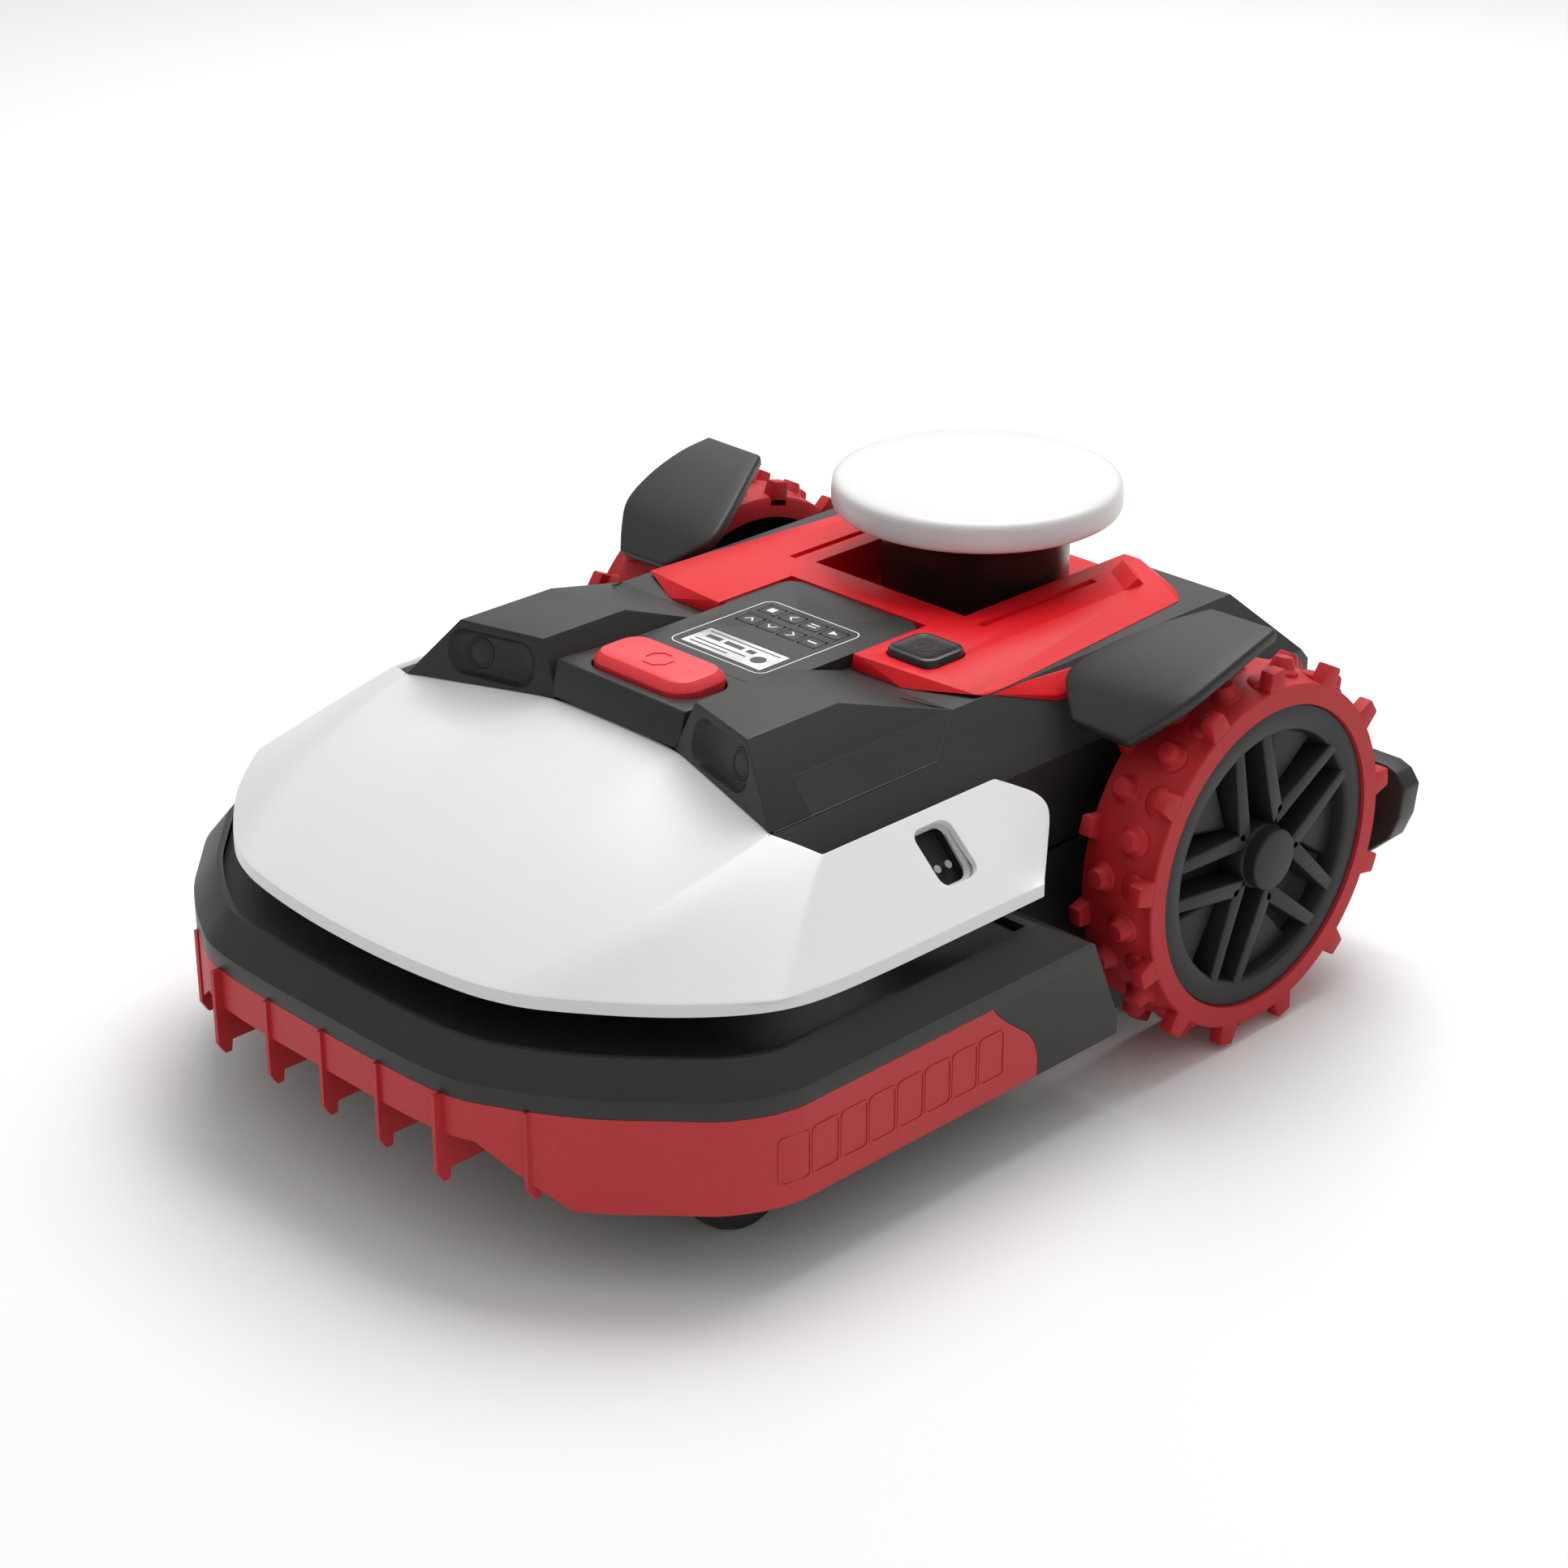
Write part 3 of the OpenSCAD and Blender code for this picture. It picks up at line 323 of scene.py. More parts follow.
def addBox(bm, low, high):
    made = bmesh.ops.create_cube(bm, size=1)
    size = [h - l for l, h in zip(low, high)]
    bmesh.ops.scale(bm, vec=size, verts=made["verts"])
    bmesh.ops.translate(bm, vec=[(l + h) / 2 for l, h in zip(low, high)], verts=made["verts"])
    return made["verts"]


def stamp(bm, mesh, matrix):
    before = len(bm.verts)
    bm.from_mesh(mesh)
    bm.verts.ensure_lookup_table()
    bmesh.ops.transform(bm, matrix=matrix, verts=bm.verts[before:])


def toMesh(bm, name):
    mesh = bpy.data.meshes.new(name)
    bm.to_mesh(mesh)
    bm.free()
    return mesh


# Profile of (along, radius) points turned about the X or Z axis
def turned(bm, profile, axis, steps=96):
    along = {"x": (1, 0, 0), "z": (0, 0, 1)}[axis]
    verts = []
    for offset, radius in profile:
        verts.append(bm.verts.new((offset, 0, radius) if axis == "x" else (radius, 0, offset)))
    edges = [bm.edges.new(pair) for pair in zip(verts, verts[1:])]
    bmesh.ops.spin(bm, geom=verts + edges, cent=(0, 0, 0), axis=along, angle=math.tau,
                   steps=steps, use_merge=True)


def roundedOutline(halfX, halfY, radius, arcSteps=8):
    points = []
    for cx, cy, start in ((1, 1, 0), (-1, 1, 90), (-1, -1, 180), (1, -1, 270)):
        for i in range(arcSteps + 1):
            a = math.radians(start + 90 * i / arcSteps)
            points.append((cx * (halfX - radius) + radius * math.cos(a),
                           cy * (halfY - radius) + radius * math.sin(a)))
    return points


# Closed rings of points joined into a skin, with both ends closed
def loft(bm, rings, closeStart=True, closeEnd=True):
    loops = [[bm.verts.new(p) for p in ring] for ring in rings]
    for a, b in zip(loops, loops[1:]):
        for i in range(len(a)):
            bm.faces.new((a[i - 1], a[i], b[i], b[i - 1]))
    for loop, wanted in ((loops[0], closeStart), (loops[-1], closeEnd)):
        if wanted:
            bm.faces.new(loop)


def bakeModifiers(piece):
    depsgraph = bpy.context.evaluated_depsgraph_get()
    baked = bpy.data.meshes.new_from_object(piece.evaluated_get(depsgraph))
    piece.modifiers.clear()
    spare = piece.data
    piece.data = baked
    bpy.data.meshes.remove(spare)


def roundedEdges(piece, width, segments, least, sharp):
    rounded = piece.modifiers.new("rounded", "BEVEL")
    rounded.width = width * mm
    rounded.segments = segments
    rounded.limit_method = "ANGLE"
    rounded.angle_limit = math.radians(least)
    bpy.context.view_layer.update()
    bakeModifiers(piece)
    piece.data.shade_smooth()
    piece.data.set_sharp_from_angle(angle=math.radians(sharp))


def cutAway(piece, cutterBm):
    bmesh.ops.recalc_face_normals(cutterBm, faces=cutterBm.faces)
    bmesh.ops.scale(cutterBm, vec=(mm, mm, mm), verts=cutterBm.verts)
    mesh = toMesh(cutterBm, "cutter")
    cutter = bpy.data.objects.new("cutter", mesh)
    bpy.context.scene.collection.objects.link(cutter)
    trim = piece.modifiers.new("trim", "BOOLEAN")
    trim.operation = "DIFFERENCE"
    trim.solver = "EXACT"
    trim.object = cutter
    bpy.context.view_layer.update()
    bakeModifiers(piece)
    bpy.data.objects.remove(cutter)
    bpy.data.meshes.remove(mesh)


hood = {
    "thick": 3.0, "lipTop": 149.5, "lipBottom": 142.5, "lipEdge": 1.2, "edgeRound": 0.6,
    "creases": ((6, 0.45), (10, 0.75), (14, 0.6)), "lipCrease": 0.75, "openCrease": 0.9,
    "dipAt": 0.1,
    "rows": (0, 0.08, 0.2, 0.4, 0.6, 0.8, 0.93, 1.0),
    "windowAt": (184.2, -48, 172.7), "windowTilt": 47,
    "windowHalf": (16.2, 13.0), "windowRadius": 6.5,
    "windowCut": ((-14, 0.93), (-1.2, 0.96), (0.4, 1.03), (12, 1.1)),  # depth and scale of each ring
    "collar": ((17.4, 14.2, -5.4), (17.4, 14.2, -2.2), (15.7, 12.5, -2.2), (14.8, 11.4, -5.4),
               (17.4, 14.2, -5.4)),  # half length, half width and depth of each ring
}
# One column of the skin per line: top point, lip point, roundness, dip under the pods, sideways bulge
hoodColumns = [
    ((0, -102.8, 204.4), (0, -286), 1.65, 0.5, (0, 0)),
    ((24, -103.0, 204.2), (22, -285.7), 1.65, 0.7, (0, 0)),
    ((46, -103.6, 203.7), (43, -284.4), 1.6, 1.5, (0, 0)),
    ((68, -109.0, 202.6), (62, -282.4), 1.55, 4.5, (0, 0)),
    ((92, -115.0, 201.1), (78, -280.0), 1.45, 6.0, (2, 0)),
    ((118, -121.2, 199.3), (90, -277.6), 1.3, 5.0, (5, 0)),
    ((142, -129.6, 197.0), (101, -274.2), 1.12, 0.5, (9, -4)),
    ((147, -127.0, 195.8), (118, -267.6), 1.06, 0, (9, -6)),
    ((153, -124.2, 194.4), (141, -251.0), 1.04, 0, (6, -6)),
    ((160, -121.0, 192.6), (173, -226.0), 1.04, 0, (2, -3)),
    ((167.5, -118.0, 190.7), (206, -186.0), 1.04, 0, (0, 0)),
    ((167.5, -98.0, 190.7), (211.5, -152.0), 1.0, 0, (0, 0)),
    ((167.5, -60.0, 190.7), (212.5, -105.0), 1.0, 0, (0, 0)),
    ((167.5, -25.0, 190.7), (212.5, -60.0), 1.0, 0, (0, 0)),
    ((167.5, 8.0, 190.7), (212.5, -25.0), 1.0, 0, (0, 0)),
]
hoodRearEdge = [
    (170.8, 15.0, 187.2), (174.5, 22.5, 183.2), (178.0, 29.5, 179.4), (184.3, 34.0, 172.5),
    (193.0, 22.7, 163.0), (203.0, 9.7, 152.2), (209.0, 2.0, 150.4), (212.5, -2.0, 149.5),
]


def hoodPoint(column, u):
    (tx, ty, tz), (lx, ly), power, dip, bulge = column
    lean = math.sin(math.pi * u)
    drop = dip * (u / hood["dipAt"]) * math.exp(1 - u / hood["dipAt"])
    z = hood["lipTop"] + (tz - hood["lipTop"]) * (1 - u ** power) - drop
    return (tx + (lx - tx) * u + bulge[0] * lean, ty + (ly - ty) * u + bulge[1] * lean, z)


def makeHood():
    lines = [[hoodPoint(c, u) for u in hood["rows"]] for c in hoodColumns] + [hoodRearEdge]
    for line in lines:
        x, y, z = line[-1]
        line.append((x, y, hood["lipBottom"] + hood["lipEdge"]))
        line.append((x, y, hood["lipBottom"]))
    lines = [[(-x, y, z) for x, y, z in line] for line in reversed(lines[1:])] + lines
    bm = bmesh.new()
    crease = bm.edges.layers.float.new("crease_edge")
    chains = []
    for line in lines:
        verts = [bm.verts.new(p) for p in line]
        chains.append([bm.edges.new(pair) for pair in zip(verts, verts[1:])])
    for a, b in zip(chains, chains[1:]):
        bmesh.ops.bridge_loops(bm, edges=a + b)
    middle = len(hoodColumns)
    for side in (-1, 1):
        for index, strength in hood["creases"]:
            for edge in chains[middle + side * index][:len(hood["rows"]) - 1]:
                edge[crease] = strength
    for edge in bm.edges:
        if all(abs(v.co.z - hood["lipTop"]) < 0.3 for v in edge.verts):
            edge[crease] = hood["lipCrease"]
        if edge.is_boundary:
            edge[crease] = hood["openCrease"]
    bmesh.ops.recalc_face_normals(bm, faces=bm.faces)
    highest = max(bm.faces, key=lambda f: f.calc_center_median().z)
    if highest.normal.z < 0:
        bmesh.ops.reverse_faces(bm, faces=bm.faces)
    piece = finishPiece(bm, "hoodSkin", "cover", "hood_white", hides=["hood"], sharp=50)
    smooth = piece.modifiers.new("smooth", "SUBSURF")
    smooth.levels = smooth.render_levels = 3
    wall = piece.modifiers.new("wall", "SOLIDIFY")
    wall.thickness = hood["thick"] * mm
    wall.offset = -1
    wall.use_rim = True
    bpy.context.view_layer.update()
    bakeModifiers(piece)
    hole = bmesh.new()
    halfL, halfW = hood["windowHalf"]
    ring = roundedOutline(halfL, halfW, hood["windowRadius"], 8)
    loft(hole, [[(x * s, y * s, z) for x, y in ring] for z, s in hood["windowCut"]])
    turn = Matrix.Translation(hood["windowAt"]) @ Matrix.Rotation(math.radians(hood["windowTilt"]), 4, "Y")
    bmesh.ops.transform(hole, matrix=turn, verts=hole.verts)
    cutAway(piece, hole)
    collar = bmesh.new()
    loft(collar, [[(x, y, z) for x, y in roundedOutline(a, b, hood["windowRadius"] - 1, 8)]
                  for a, b, z in hood["collar"]], False, False)
    bmesh.ops.transform(collar, matrix=turn, verts=collar.verts)
    finishPiece(collar, "windowCollar", "cover", "hood_white", sharp=40)
    roundedEdges(piece, hood["edgeRound"], 2, 55, 38)
    print("hood:", len(piece.data.polygons), "faces")


makeHood()


# Edge rounding of each refined CAD part: width and segments
shellBevels = {
    "lower_housing": (1.6, 3), "upper_body": (1.8, 3), "rear_guard": (4.0, 4), "stop_housing": (1.4, 3),
    "control_panel": (0.7, 2), "deck_cover": (1.0, 2),
    "front_guard": (0.7, 2), "battery_hatch": (1.0, 2), "charge_socket": (0.5, 2), "inner_cover": (1.2, 2),
    "floating_frame": (0.8, 2), "caster_fork_left": (1.0, 2), "caster_fork_right": (1.0, 2),
    "carriage": (0.8, 2), "skid_plate": (0.6, 2), "blade_disc": (0.6, 2), "blade_motor": (1.0, 2),
    "battery_pack": (1.5, 2), "gearbox_left": (1.5, 2), "gearbox_right": (1.5, 2),
    "display": (0.3, 2),
}
for name, (width, segments) in shellBevels.items():
    refined(name, width, segments)
for i in range(1, 9):
    refined("key_%d" % i, 0.5)
print("shells:", len(shellBevels))

# Fender sheet from front to rear: inner point and outer point of each row, on the +X side
fender = {
    "thick": 8.0, "round": 2.6, "across": 6, "between": 4,
    "rows": [((159, 77, 199), (197, 77, 198)), ((146.5, 87, 208), (208.5, 89, 209.5)),
             ((138, 98, 216.5), (217, 102, 220)), ((143.5, 117, 225.5), (220.5, 124, 230)),
             ((158, 146, 235), (221, 150, 238)), ((174, 174, 241), (219, 173, 242))],
}


def curveThrough(points, steps):
    padded = [2 * points[0] - points[1]] + points + [2 * points[-1] - points[-2]]
    line = []
    for a, b, c, d in zip(padded, padded[1:], padded[2:], padded[3:]):
        for i in range(steps):
            t = i / steps
            bend = (2 * a - 5 * b + 4 * c - d) * t ** 2 + (3 * b - a - 3 * c + d) * t ** 3
            line.append(0.5 * (2 * b + (c - a) * t + bend))
    return line + [points[-1]]


def makeFender(side, label):
    inner, outer = ([Vector((side * p[k][0], *p[k][1:])) for p in fender["rows"]] for k in (0, 1))
    bm = bmesh.new()
    grid = []
    for a, b in zip(curveThrough(inner, fender["between"]), curveThrough(outer, fender["between"])):
        grid.append([bm.verts.new(a.lerp(b, i / fender["across"])) for i in range(fender["across"] + 1)])
    for low, high in zip(grid, grid[1:]):
        for i in range(fender["across"]):
            bm.faces.new((low[i], low[i + 1], high[i + 1], high[i])[::side])
    piece = finishPiece(bm, "fenderPlate_" + label, "cover", "shell_dark", hides=["fender_" + label], sharp=40)
    if max(piece.data.polygons, key=lambda f: f.center.z).normal.z < 0:
        piece.data.flip_normals()
    wall = piece.modifiers.new("wall", "SOLIDIFY")
    wall.thickness = fender["thick"] * mm
    wall.offset = -1
    roundedEdges(piece, fender["round"], 4, 40, 45)


pod = {
    "outer": [
        (111, -115, 234), (59.4, -101.4, 234), (46, -104, 204), (142, -129.6, 197.2),
        (111, -50, 234), (59, -42, 234), (127.8, 17.6, 214.2), (54, 14, 215.5),
        (142, -8, 197.2), (50.2, -100, 214.3), (50.2, 14, 214.3),
    ],
    "faceAt": (89.4, -112.5, 217), "faceTilt": 90 - 11.4, "faceTurn": -14.8,
    "recessHalf": (28, 12.5), "sensorShift": 11,
    "recess": ((-6.4, 0.55), (-6.2, 0.72), (-5.0, 0.84), (-3.0, 0.93), (-1.2, 0.985), (0.6, 1.04), (9, 1.2)),
    "ring": [(-10, 6.9), (-5.9, 6.9), (-5.7, 7.2), (-5.7, 8.1), (-6.0, 8.6), (-10, 8.6)],
    "lens": [(-9, 0), (-9, 6.8), (-6.1, 6.8), (-5.9, 6.4), (-5.8, 3.0), (-5.8, 0)],
}


def onPodFace(side):
    turn = Matrix.Rotation(math.radians(pod["faceTurn"]), 4, "Z")
    tilt = Matrix.Rotation(math.radians(pod["faceTilt"]), 4, "X")
    place = Matrix.Translation(pod["faceAt"]) @ turn @ tilt
    return place if side > 0 else Matrix.Scale(-1, 4, (1, 0, 0)) @ place


def makePod(side, label):
    bm = hullOf([(side * x, y, z) for x, y, z in pod["outer"]])
    bevelSharp(bm, 2.6, 4, 20)
    piece = finishPiece(bm, "podShell_" + label, "cover", "shell_dark", hides=["pod_" + label], sharp=40)
    hole = bmesh.new()
    halfL, halfH = pod["recessHalf"]
    ring = roundedOutline(halfL, halfH, halfH - 2, 10)
    loft(hole, [[(x * s, y * s, z) for x, y in ring] for z, s in pod["recess"]])
    bmesh.ops.transform(hole, matrix=onPodFace(side), verts=hole.verts)
    cutAway(piece, hole)
    piece.data.shade_smooth()
    piece.data.set_sharp_from_angle(angle=math.radians(38))
    seat = onPodFace(side) @ Matrix.Translation((pod["sensorShift"], 0, 0))
    ring = bmesh.new()
    turned(ring, pod["ring"], "z", 48)
    bmesh.ops.transform(ring, matrix=seat, verts=ring.verts)
    finishPiece(ring, "sensorRing_" + label, "cover", "shell_dark", hides=["range_sensors"])
    lens = bmesh.new()
    turned(lens, pod["lens"], "z", 48)
    bmesh.ops.transform(lens, matrix=seat, verts=lens.verts)
    finishPiece(lens, "sensorLens_" + label, "cover", "sensor_black", finishes["panel_dark"])


# Thin parting line drawn round the rear and the foot of each pod
podSeam = {
    "radius": 0.45,
    "line": [(111.4, -4, 222.6), (127.9, 17.9, 213.9), (141.9, -7.9, 197.1), (142.3, -127, 197.0)],
}


def makePodSeam(side, label):
    bm = bmesh.new()
    line = [Vector((side * x, y, z)) for x, y, z in podSeam["line"]]
    for a, b in zip(line, line[1:]):
        made = bmesh.ops.create_cone(bm, cap_ends=True, segments=8, radius1=podSeam["radius"],
                                     radius2=podSeam["radius"], depth=(b - a).length)
        turn = (b - a).to_track_quat("Z", "Y").to_matrix().to_4x4()
        bmesh.ops.transform(bm, matrix=Matrix.Translation((a + b) / 2) @ turn, verts=made["verts"])
    finishPiece(bm, "podSeam_" + label, "cover", "shell_dark", finishes["black_plastic"])


for side, label in sides:
    makePod(side, label)
    makePodSeam(side, label)
    makeFender(side, label)
print("pods made")


# Blank raised frames along both sides of the red band
cells = {"count": 8, "from": -200.0, "pitch": 20.0, "middle": 71.0, "half": (9.2, 13.0), "radius": 3.0,
         "line": 1.1, "proud": 0.5, "sunk": 0.4, "away": 400}


def makeBandCells(side, label):
    band = BVHTree.FromBMesh(copyOf("front_guard"))
    bm = bmesh.new()
    for i in range(cells["count"]):
        middle = cells["from"] + cells["pitch"] * (i + 0.5)
        outline = roundedOutline(*cells["half"], cells["radius"], 4)
        strip(bm, [(middle + y, cells["middle"] + z) for y, z in outline], cells["line"], 0, 1)
    for vert in bm.verts:
        y, z, high = vert.co
        start = Vector((side * cells["away"], y, z))
        hit = band.ray_cast(start, Vector((-side, 0, 0)))[0] or band.find_nearest(start)[0]
        vert.co = (hit.x + side * (cells["proud"] if high > 0.5 else -cells["sunk"]), y, z)
    finishPiece(bm, "bandCells_" + label, nodeBody["front_guard"], "guard_red", sharp=30)


def raiseFaces(bm, faces, height):
    made = bmesh.ops.extrude_face_region(bm, geom=faces)
    top = [g for g in made["geom"] if isinstance(g, bmesh.types.BMVert)]
    bmesh.ops.translate(bm, vec=(0, 0, height), verts=top)


stopButton = {
    "center": (0, -71.75), "half": (37.8, 19.6), "radius": 14, "top": 231.5,
    "rings": ((221.0, 0.2), (222.4, 0.4), (226.4, 0.4), (227.6, -0.2), (230.2, -2.6), (231.0, -3.4),
              (231.4, -4.6)),  # height, and growth of the outline
    "arcSteps": 10, "signRadius": 8.4, "signLine": 1.5, "signSunk": 0.3, "signProud": 0.35,
}


def cap(control):
    cx, cy = control["center"]
    halfX, halfY = control["half"]
    bm = bmesh.new()
    loft(bm, [[(x + cx, y + cy, z) for x, y in roundedOutline(halfX + grow, halfY + grow,
              max(control["radius"] + grow, 3.0), control["arcSteps"])] for z, grow in control["rings"]])
    return bm


def makeStopButton():
    s = stopButton
    finishPiece(cap(s), "stopButtonCap", "stop_button_body", "button_red", hides=["stop_button"], sharp=24)
    bm = bmesh.new()  # plain eight-sided ring as the stop sign
    corners = [math.radians(22.5 + 45 * i) for i in range(8)]
    cx, cy = s["center"]
    sign = [(cx + s["signRadius"] * math.cos(a), cy + s["signRadius"] * math.sin(a)) for a in corners]
    strip(bm, sign, s["signLine"], s["top"] - s["signSunk"], s["top"] + s["signProud"])
    finishPiece(bm, "stopSignRing", "stop_button_body", "button_red", sharp=30)


powerButton = {
    "center": (79, 50), "half": (17, 16), "radius": 8, "arcSteps": 8,
    "rings": ((220.3, 0.4), (224.8, 0.2), (225.8, -0.4), (226.3, -1.5), (226.3, -2.6), (226.0, -3.6),
              (225.9, -8.5)),
    "signArc": (5.2, 6.3), "signOpen": 70, "signSteps": 28, "signLow": 225.65, "signHigh": 0.5,
    "signBar": (0.55, -7.4, -1.4),
}


def makePowerButton():
    p = powerButton
    finishPiece(cap(p), "powerButtonCap", "power_button_body", "button_dark", hides=["power_button"], sharp=30)
    bm = bmesh.new()  # arc and bar of the power sign
    steps, sweep = p["signSteps"], 360 - p["signOpen"]
    arcs = []
    for radius in p["signArc"]:
        arc = [bm.verts.new((radius * math.cos(a), radius * math.sin(a), 0))
               for a in (math.radians(90 - sweep / 2 + sweep * i / steps) for i in range(steps + 1))]
        arcs.append([bm.edges.new(pair) for pair in zip(arc, arc[1:])])
    bmesh.ops.bridge_loops(bm, edges=arcs[0] + arcs[1])
    raiseFaces(bm, bm.faces[:], p["signHigh"])
    bmesh.ops.rotate(bm, verts=bm.verts, cent=(0, 0, 0), matrix=Matrix.Rotation(math.pi, 3, "Z"))
    halfBar, barLow, barHigh = p["signBar"]
    addBox(bm, (-halfBar, barLow, 0), (halfBar, barHigh, p["signHigh"]))
    bmesh.ops.translate(bm, vec=(*p["center"], p["signLow"]), verts=bm.verts)
    finishPiece(bm, "powerSign", "power_button_body", "panel_dark", printDark)


def strip(bm, outline, width, low, high):
    count = len(outline)
    loops = []
    for grow in (-width / 2, width / 2):
        ring = []
        for i in range(count):
            a, b = Vector(outline[i - 1]), Vector(outline[(i + 1) % count])
            normal = Vector((b.y - a.y, a.x - b.x)).normalized()
            ring.append((outline[i][0] + normal.x * grow, outline[i][1] + normal.y * grow, low))
        verts = [bm.verts.new(p) for p in ring]
        loops.append([bm.edges.new((verts[i], verts[(i + 1) % count])) for i in range(count)])
    made = bmesh.ops.bridge_loops(bm, edges=loops[0] + loops[1])
    raiseFaces(bm, made["faces"], high - low)


panel = {
    "top": 221.0, "frameCenter": (0, 7.2), "frameHalf": (36, 39.3), "frameRadius": 6, "frameLine": 0.7,
    "printHeight": (-0.05, 0.08), "signHeight": (0.18, 0.30), "barHeight": (-0.02, 0.06),
    "keyColumns": (-24, -8, 8, 24), "keyRows": (19, 36),
    "glyphs": [  # plain arrows, bars and squares, one list of shapes for each key
        [[(-3, -1), (0, 2.4), (3, -1), (3, -2.4), (0, 1), (-3, -2.4)]],
        [[(-3, 1), (0, -2.4), (3, 1), (3, 2.4), (0, -1), (-3, 2.4)]],
        [[(-1, -3), (2.4, 0), (-1, 3), (-2.4, 3), (1, 0), (-2.4, -3)]],
        [[(-3.4, -0.7), (3.4, -0.7), (3.4, 0.7), (-3.4, 0.7)]],
        [[(-2.4, -2.4), (2.4, -2.4), (2.4, 2.4), (-2.4, 2.4)]],
        [[(1, -3), (-2.4, 0), (1, 3), (2.4, 3), (-1, 0), (2.4, -3)]],
        [[(-3.2, -2), (3.2, -2), (3.2, -0.9), (-3.2, -0.9)], [(-3.2, 0.9), (3.2, 0.9), (3.2, 2), (-3.2, 2)]],
        [[(-2.6, -2.4), (2.6, 0), (-2.6, 2.4)]],
    ],
    "bars": (((-27, -8.6), (27, -7.6)), ((-24, -15.5), (-13, -11.5)), ((-10, -15.5), (4, -11.5)),
             ((7, -15.5), (13, -11.5)), ((-27, -20.6), (12, -19.4)), ((-27, -24.6), (2, -23.4))),
    "dial": (20.5, -18.5), "dialRadius": 4.6,
}


def slab(bm, points, low, high):
    verts = [bm.verts.new((x, y, low)) for x, y in points]
    raiseFaces(bm, [bm.faces.new(verts)], high - low)


def makePanelPrints():
    top = panel["top"]
    cx, cy = panel["frameCenter"]
    bm = bmesh.new()
    outline = [(x + cx, y + cy) for x, y in roundedOutline(*panel["frameHalf"], panel["frameRadius"], 8)]
    strip(bm, outline, panel["frameLine"], *[top + h for h in panel["printHeight"]])
    finishPiece(bm, "panelOutline", "cover", "panel_dark", printWhite, sharp=60)
    for index, shapes in enumerate(panel["glyphs"]):
        kx = panel["keyColumns"][index % 4]
        ky = panel["keyRows"][index // 4]
        bm = bmesh.new()
        for shape in shapes:
            slab(bm, [(kx + x, ky + y) for x, y in shape], *[top + h for h in panel["signHeight"]])
        name = "key_%d_body" % (index + 1)
        finishPiece(bm, "keySign_%d" % (index + 1), name, "key_grey", printWhite, sharp=60)
    bm = bmesh.new()  # plain bars and a dial on the display
    low, high = (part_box("display")[1].z / mm + h for h in panel["barHeight"])
    for start, end in panel["bars"]:
        addBox(bm, (*start, low), (*end, high))
    made = bmesh.ops.create_cone(bm, cap_ends=True, segments=40, radius1=panel["dialRadius"],
                                 radius2=panel["dialRadius"], depth=high - low)
    bmesh.ops.translate(bm, vec=(*panel["dial"], (low + high) / 2), verts=made["verts"])
    finishPiece(bm, "displayBars", "cover", "panel_dark", printDark, sharp=60)


for side, label in sides:
    makeBandCells(side, label)
makeStopButton()
makePowerButton()
makePanelPrints()
print("controls made")


antennaShape = {
    "center": (0, 176.3), "low": 253.7,
    "disc": [(0, 0), (0, 78.0), (0.5, 80.6), (1.9, 82.6), (4.0, 83.4), (8.0, 83.5), (13.4, 83.2), (15.8, 82.6),
             (17.3, 81.3), (18.2, 79.2), (18.8, 76.0), (19.7, 56.0), (20.6, 28.0), (21.0, 0)],
    "neck": [(199, 0), (199, 54), (205, 54), (222, 54), (238, 54.2), (243, 54.9), (247, 56.1), (250.5, 57.8),
             (253.8, 60.0), (253.8, 0)],
    "dot": [(-0.6, 1.6), (0.25, 1.6), (0.45, 1.2), (0.5, 0)],
    "dotAngles": (76, 96, 114), "dotRadius": 68, "dotHeight": 18.1,
}


def makeAntenna():
    cx, cy = antennaShape["center"]
    bm = bmesh.new()
    turned(bm, antennaShape["disc"], "z", 160)
    bmesh.ops.translate(bm, vec=(cx, cy, antennaShape["low"]), verts=bm.verts)
    finishPiece(bm, "antennaDiscSkin", "cover", "antenna_white", hides=["antenna_disc"], sharp=40)
    bm = bmesh.new()
    turned(bm, antennaShape["neck"], "z", 128)
    bmesh.ops.translate(bm, vec=(cx, cy, 0), verts=bm.verts)
    finishPiece(bm, "antennaNeckSkin", "cover", "neck_black", hides=["antenna_neck"], sharp=40)
    dot = bmesh.new()
    turned(dot, antennaShape["dot"], "z", 24)
    dot = toMesh(dot, "dot")
    bm = bmesh.new()
    height, reach = antennaShape["low"] + antennaShape["dotHeight"], antennaShape["dotRadius"]
    for angle in antennaShape["dotAngles"]:
        a = math.radians(angle)
        stamp(bm, dot, Matrix.Translation((cx + reach * math.cos(a), cy + reach * math.sin(a), height)))
    finishPiece(bm, "statusDots", "cover", "lamp_green", hides=["status_lights"], sharp=40)


makeAntenna()
print("antenna made")


# Points of each turned profile are (along the axle, radius)
wheel = {
    "center": (169, 110), "inner": 177.5, "outer": 225.5, "teeth": 13,
    "tread": [(177.5, 88), (177.5, 98.6), (178.6, 100.4), (181, 101.2), (187, 102.0), (196, 102.6),
              (205, 102.4), (213, 101.2), (217.0, 99.9), (219.0, 99.2), (224.6, 99.0), (225.5, 98.2),
              (225.5, 87.2), (222, 86.6), (222, 84)],
    "toothOuter": 8.6, "toothInner": 8.0, "toothInset": 0.15, "tooth": (8.2, 5.4, 94, 110, 1.1),
    "earRadius": 9.0, "earShape": (0.85, 1.0, 0.42), "earHeight": 100.5, "earInset": 12,
    "lug": [(96, 9.4), (101.6, 9.2), (102.4, 8.4), (103.2, 7.2), (108.3, 5.5), (109.2, 4.9), (109.4, 4.2),
            (109.4, 0)],
    "lugRows": (208.5, 193.5),
}
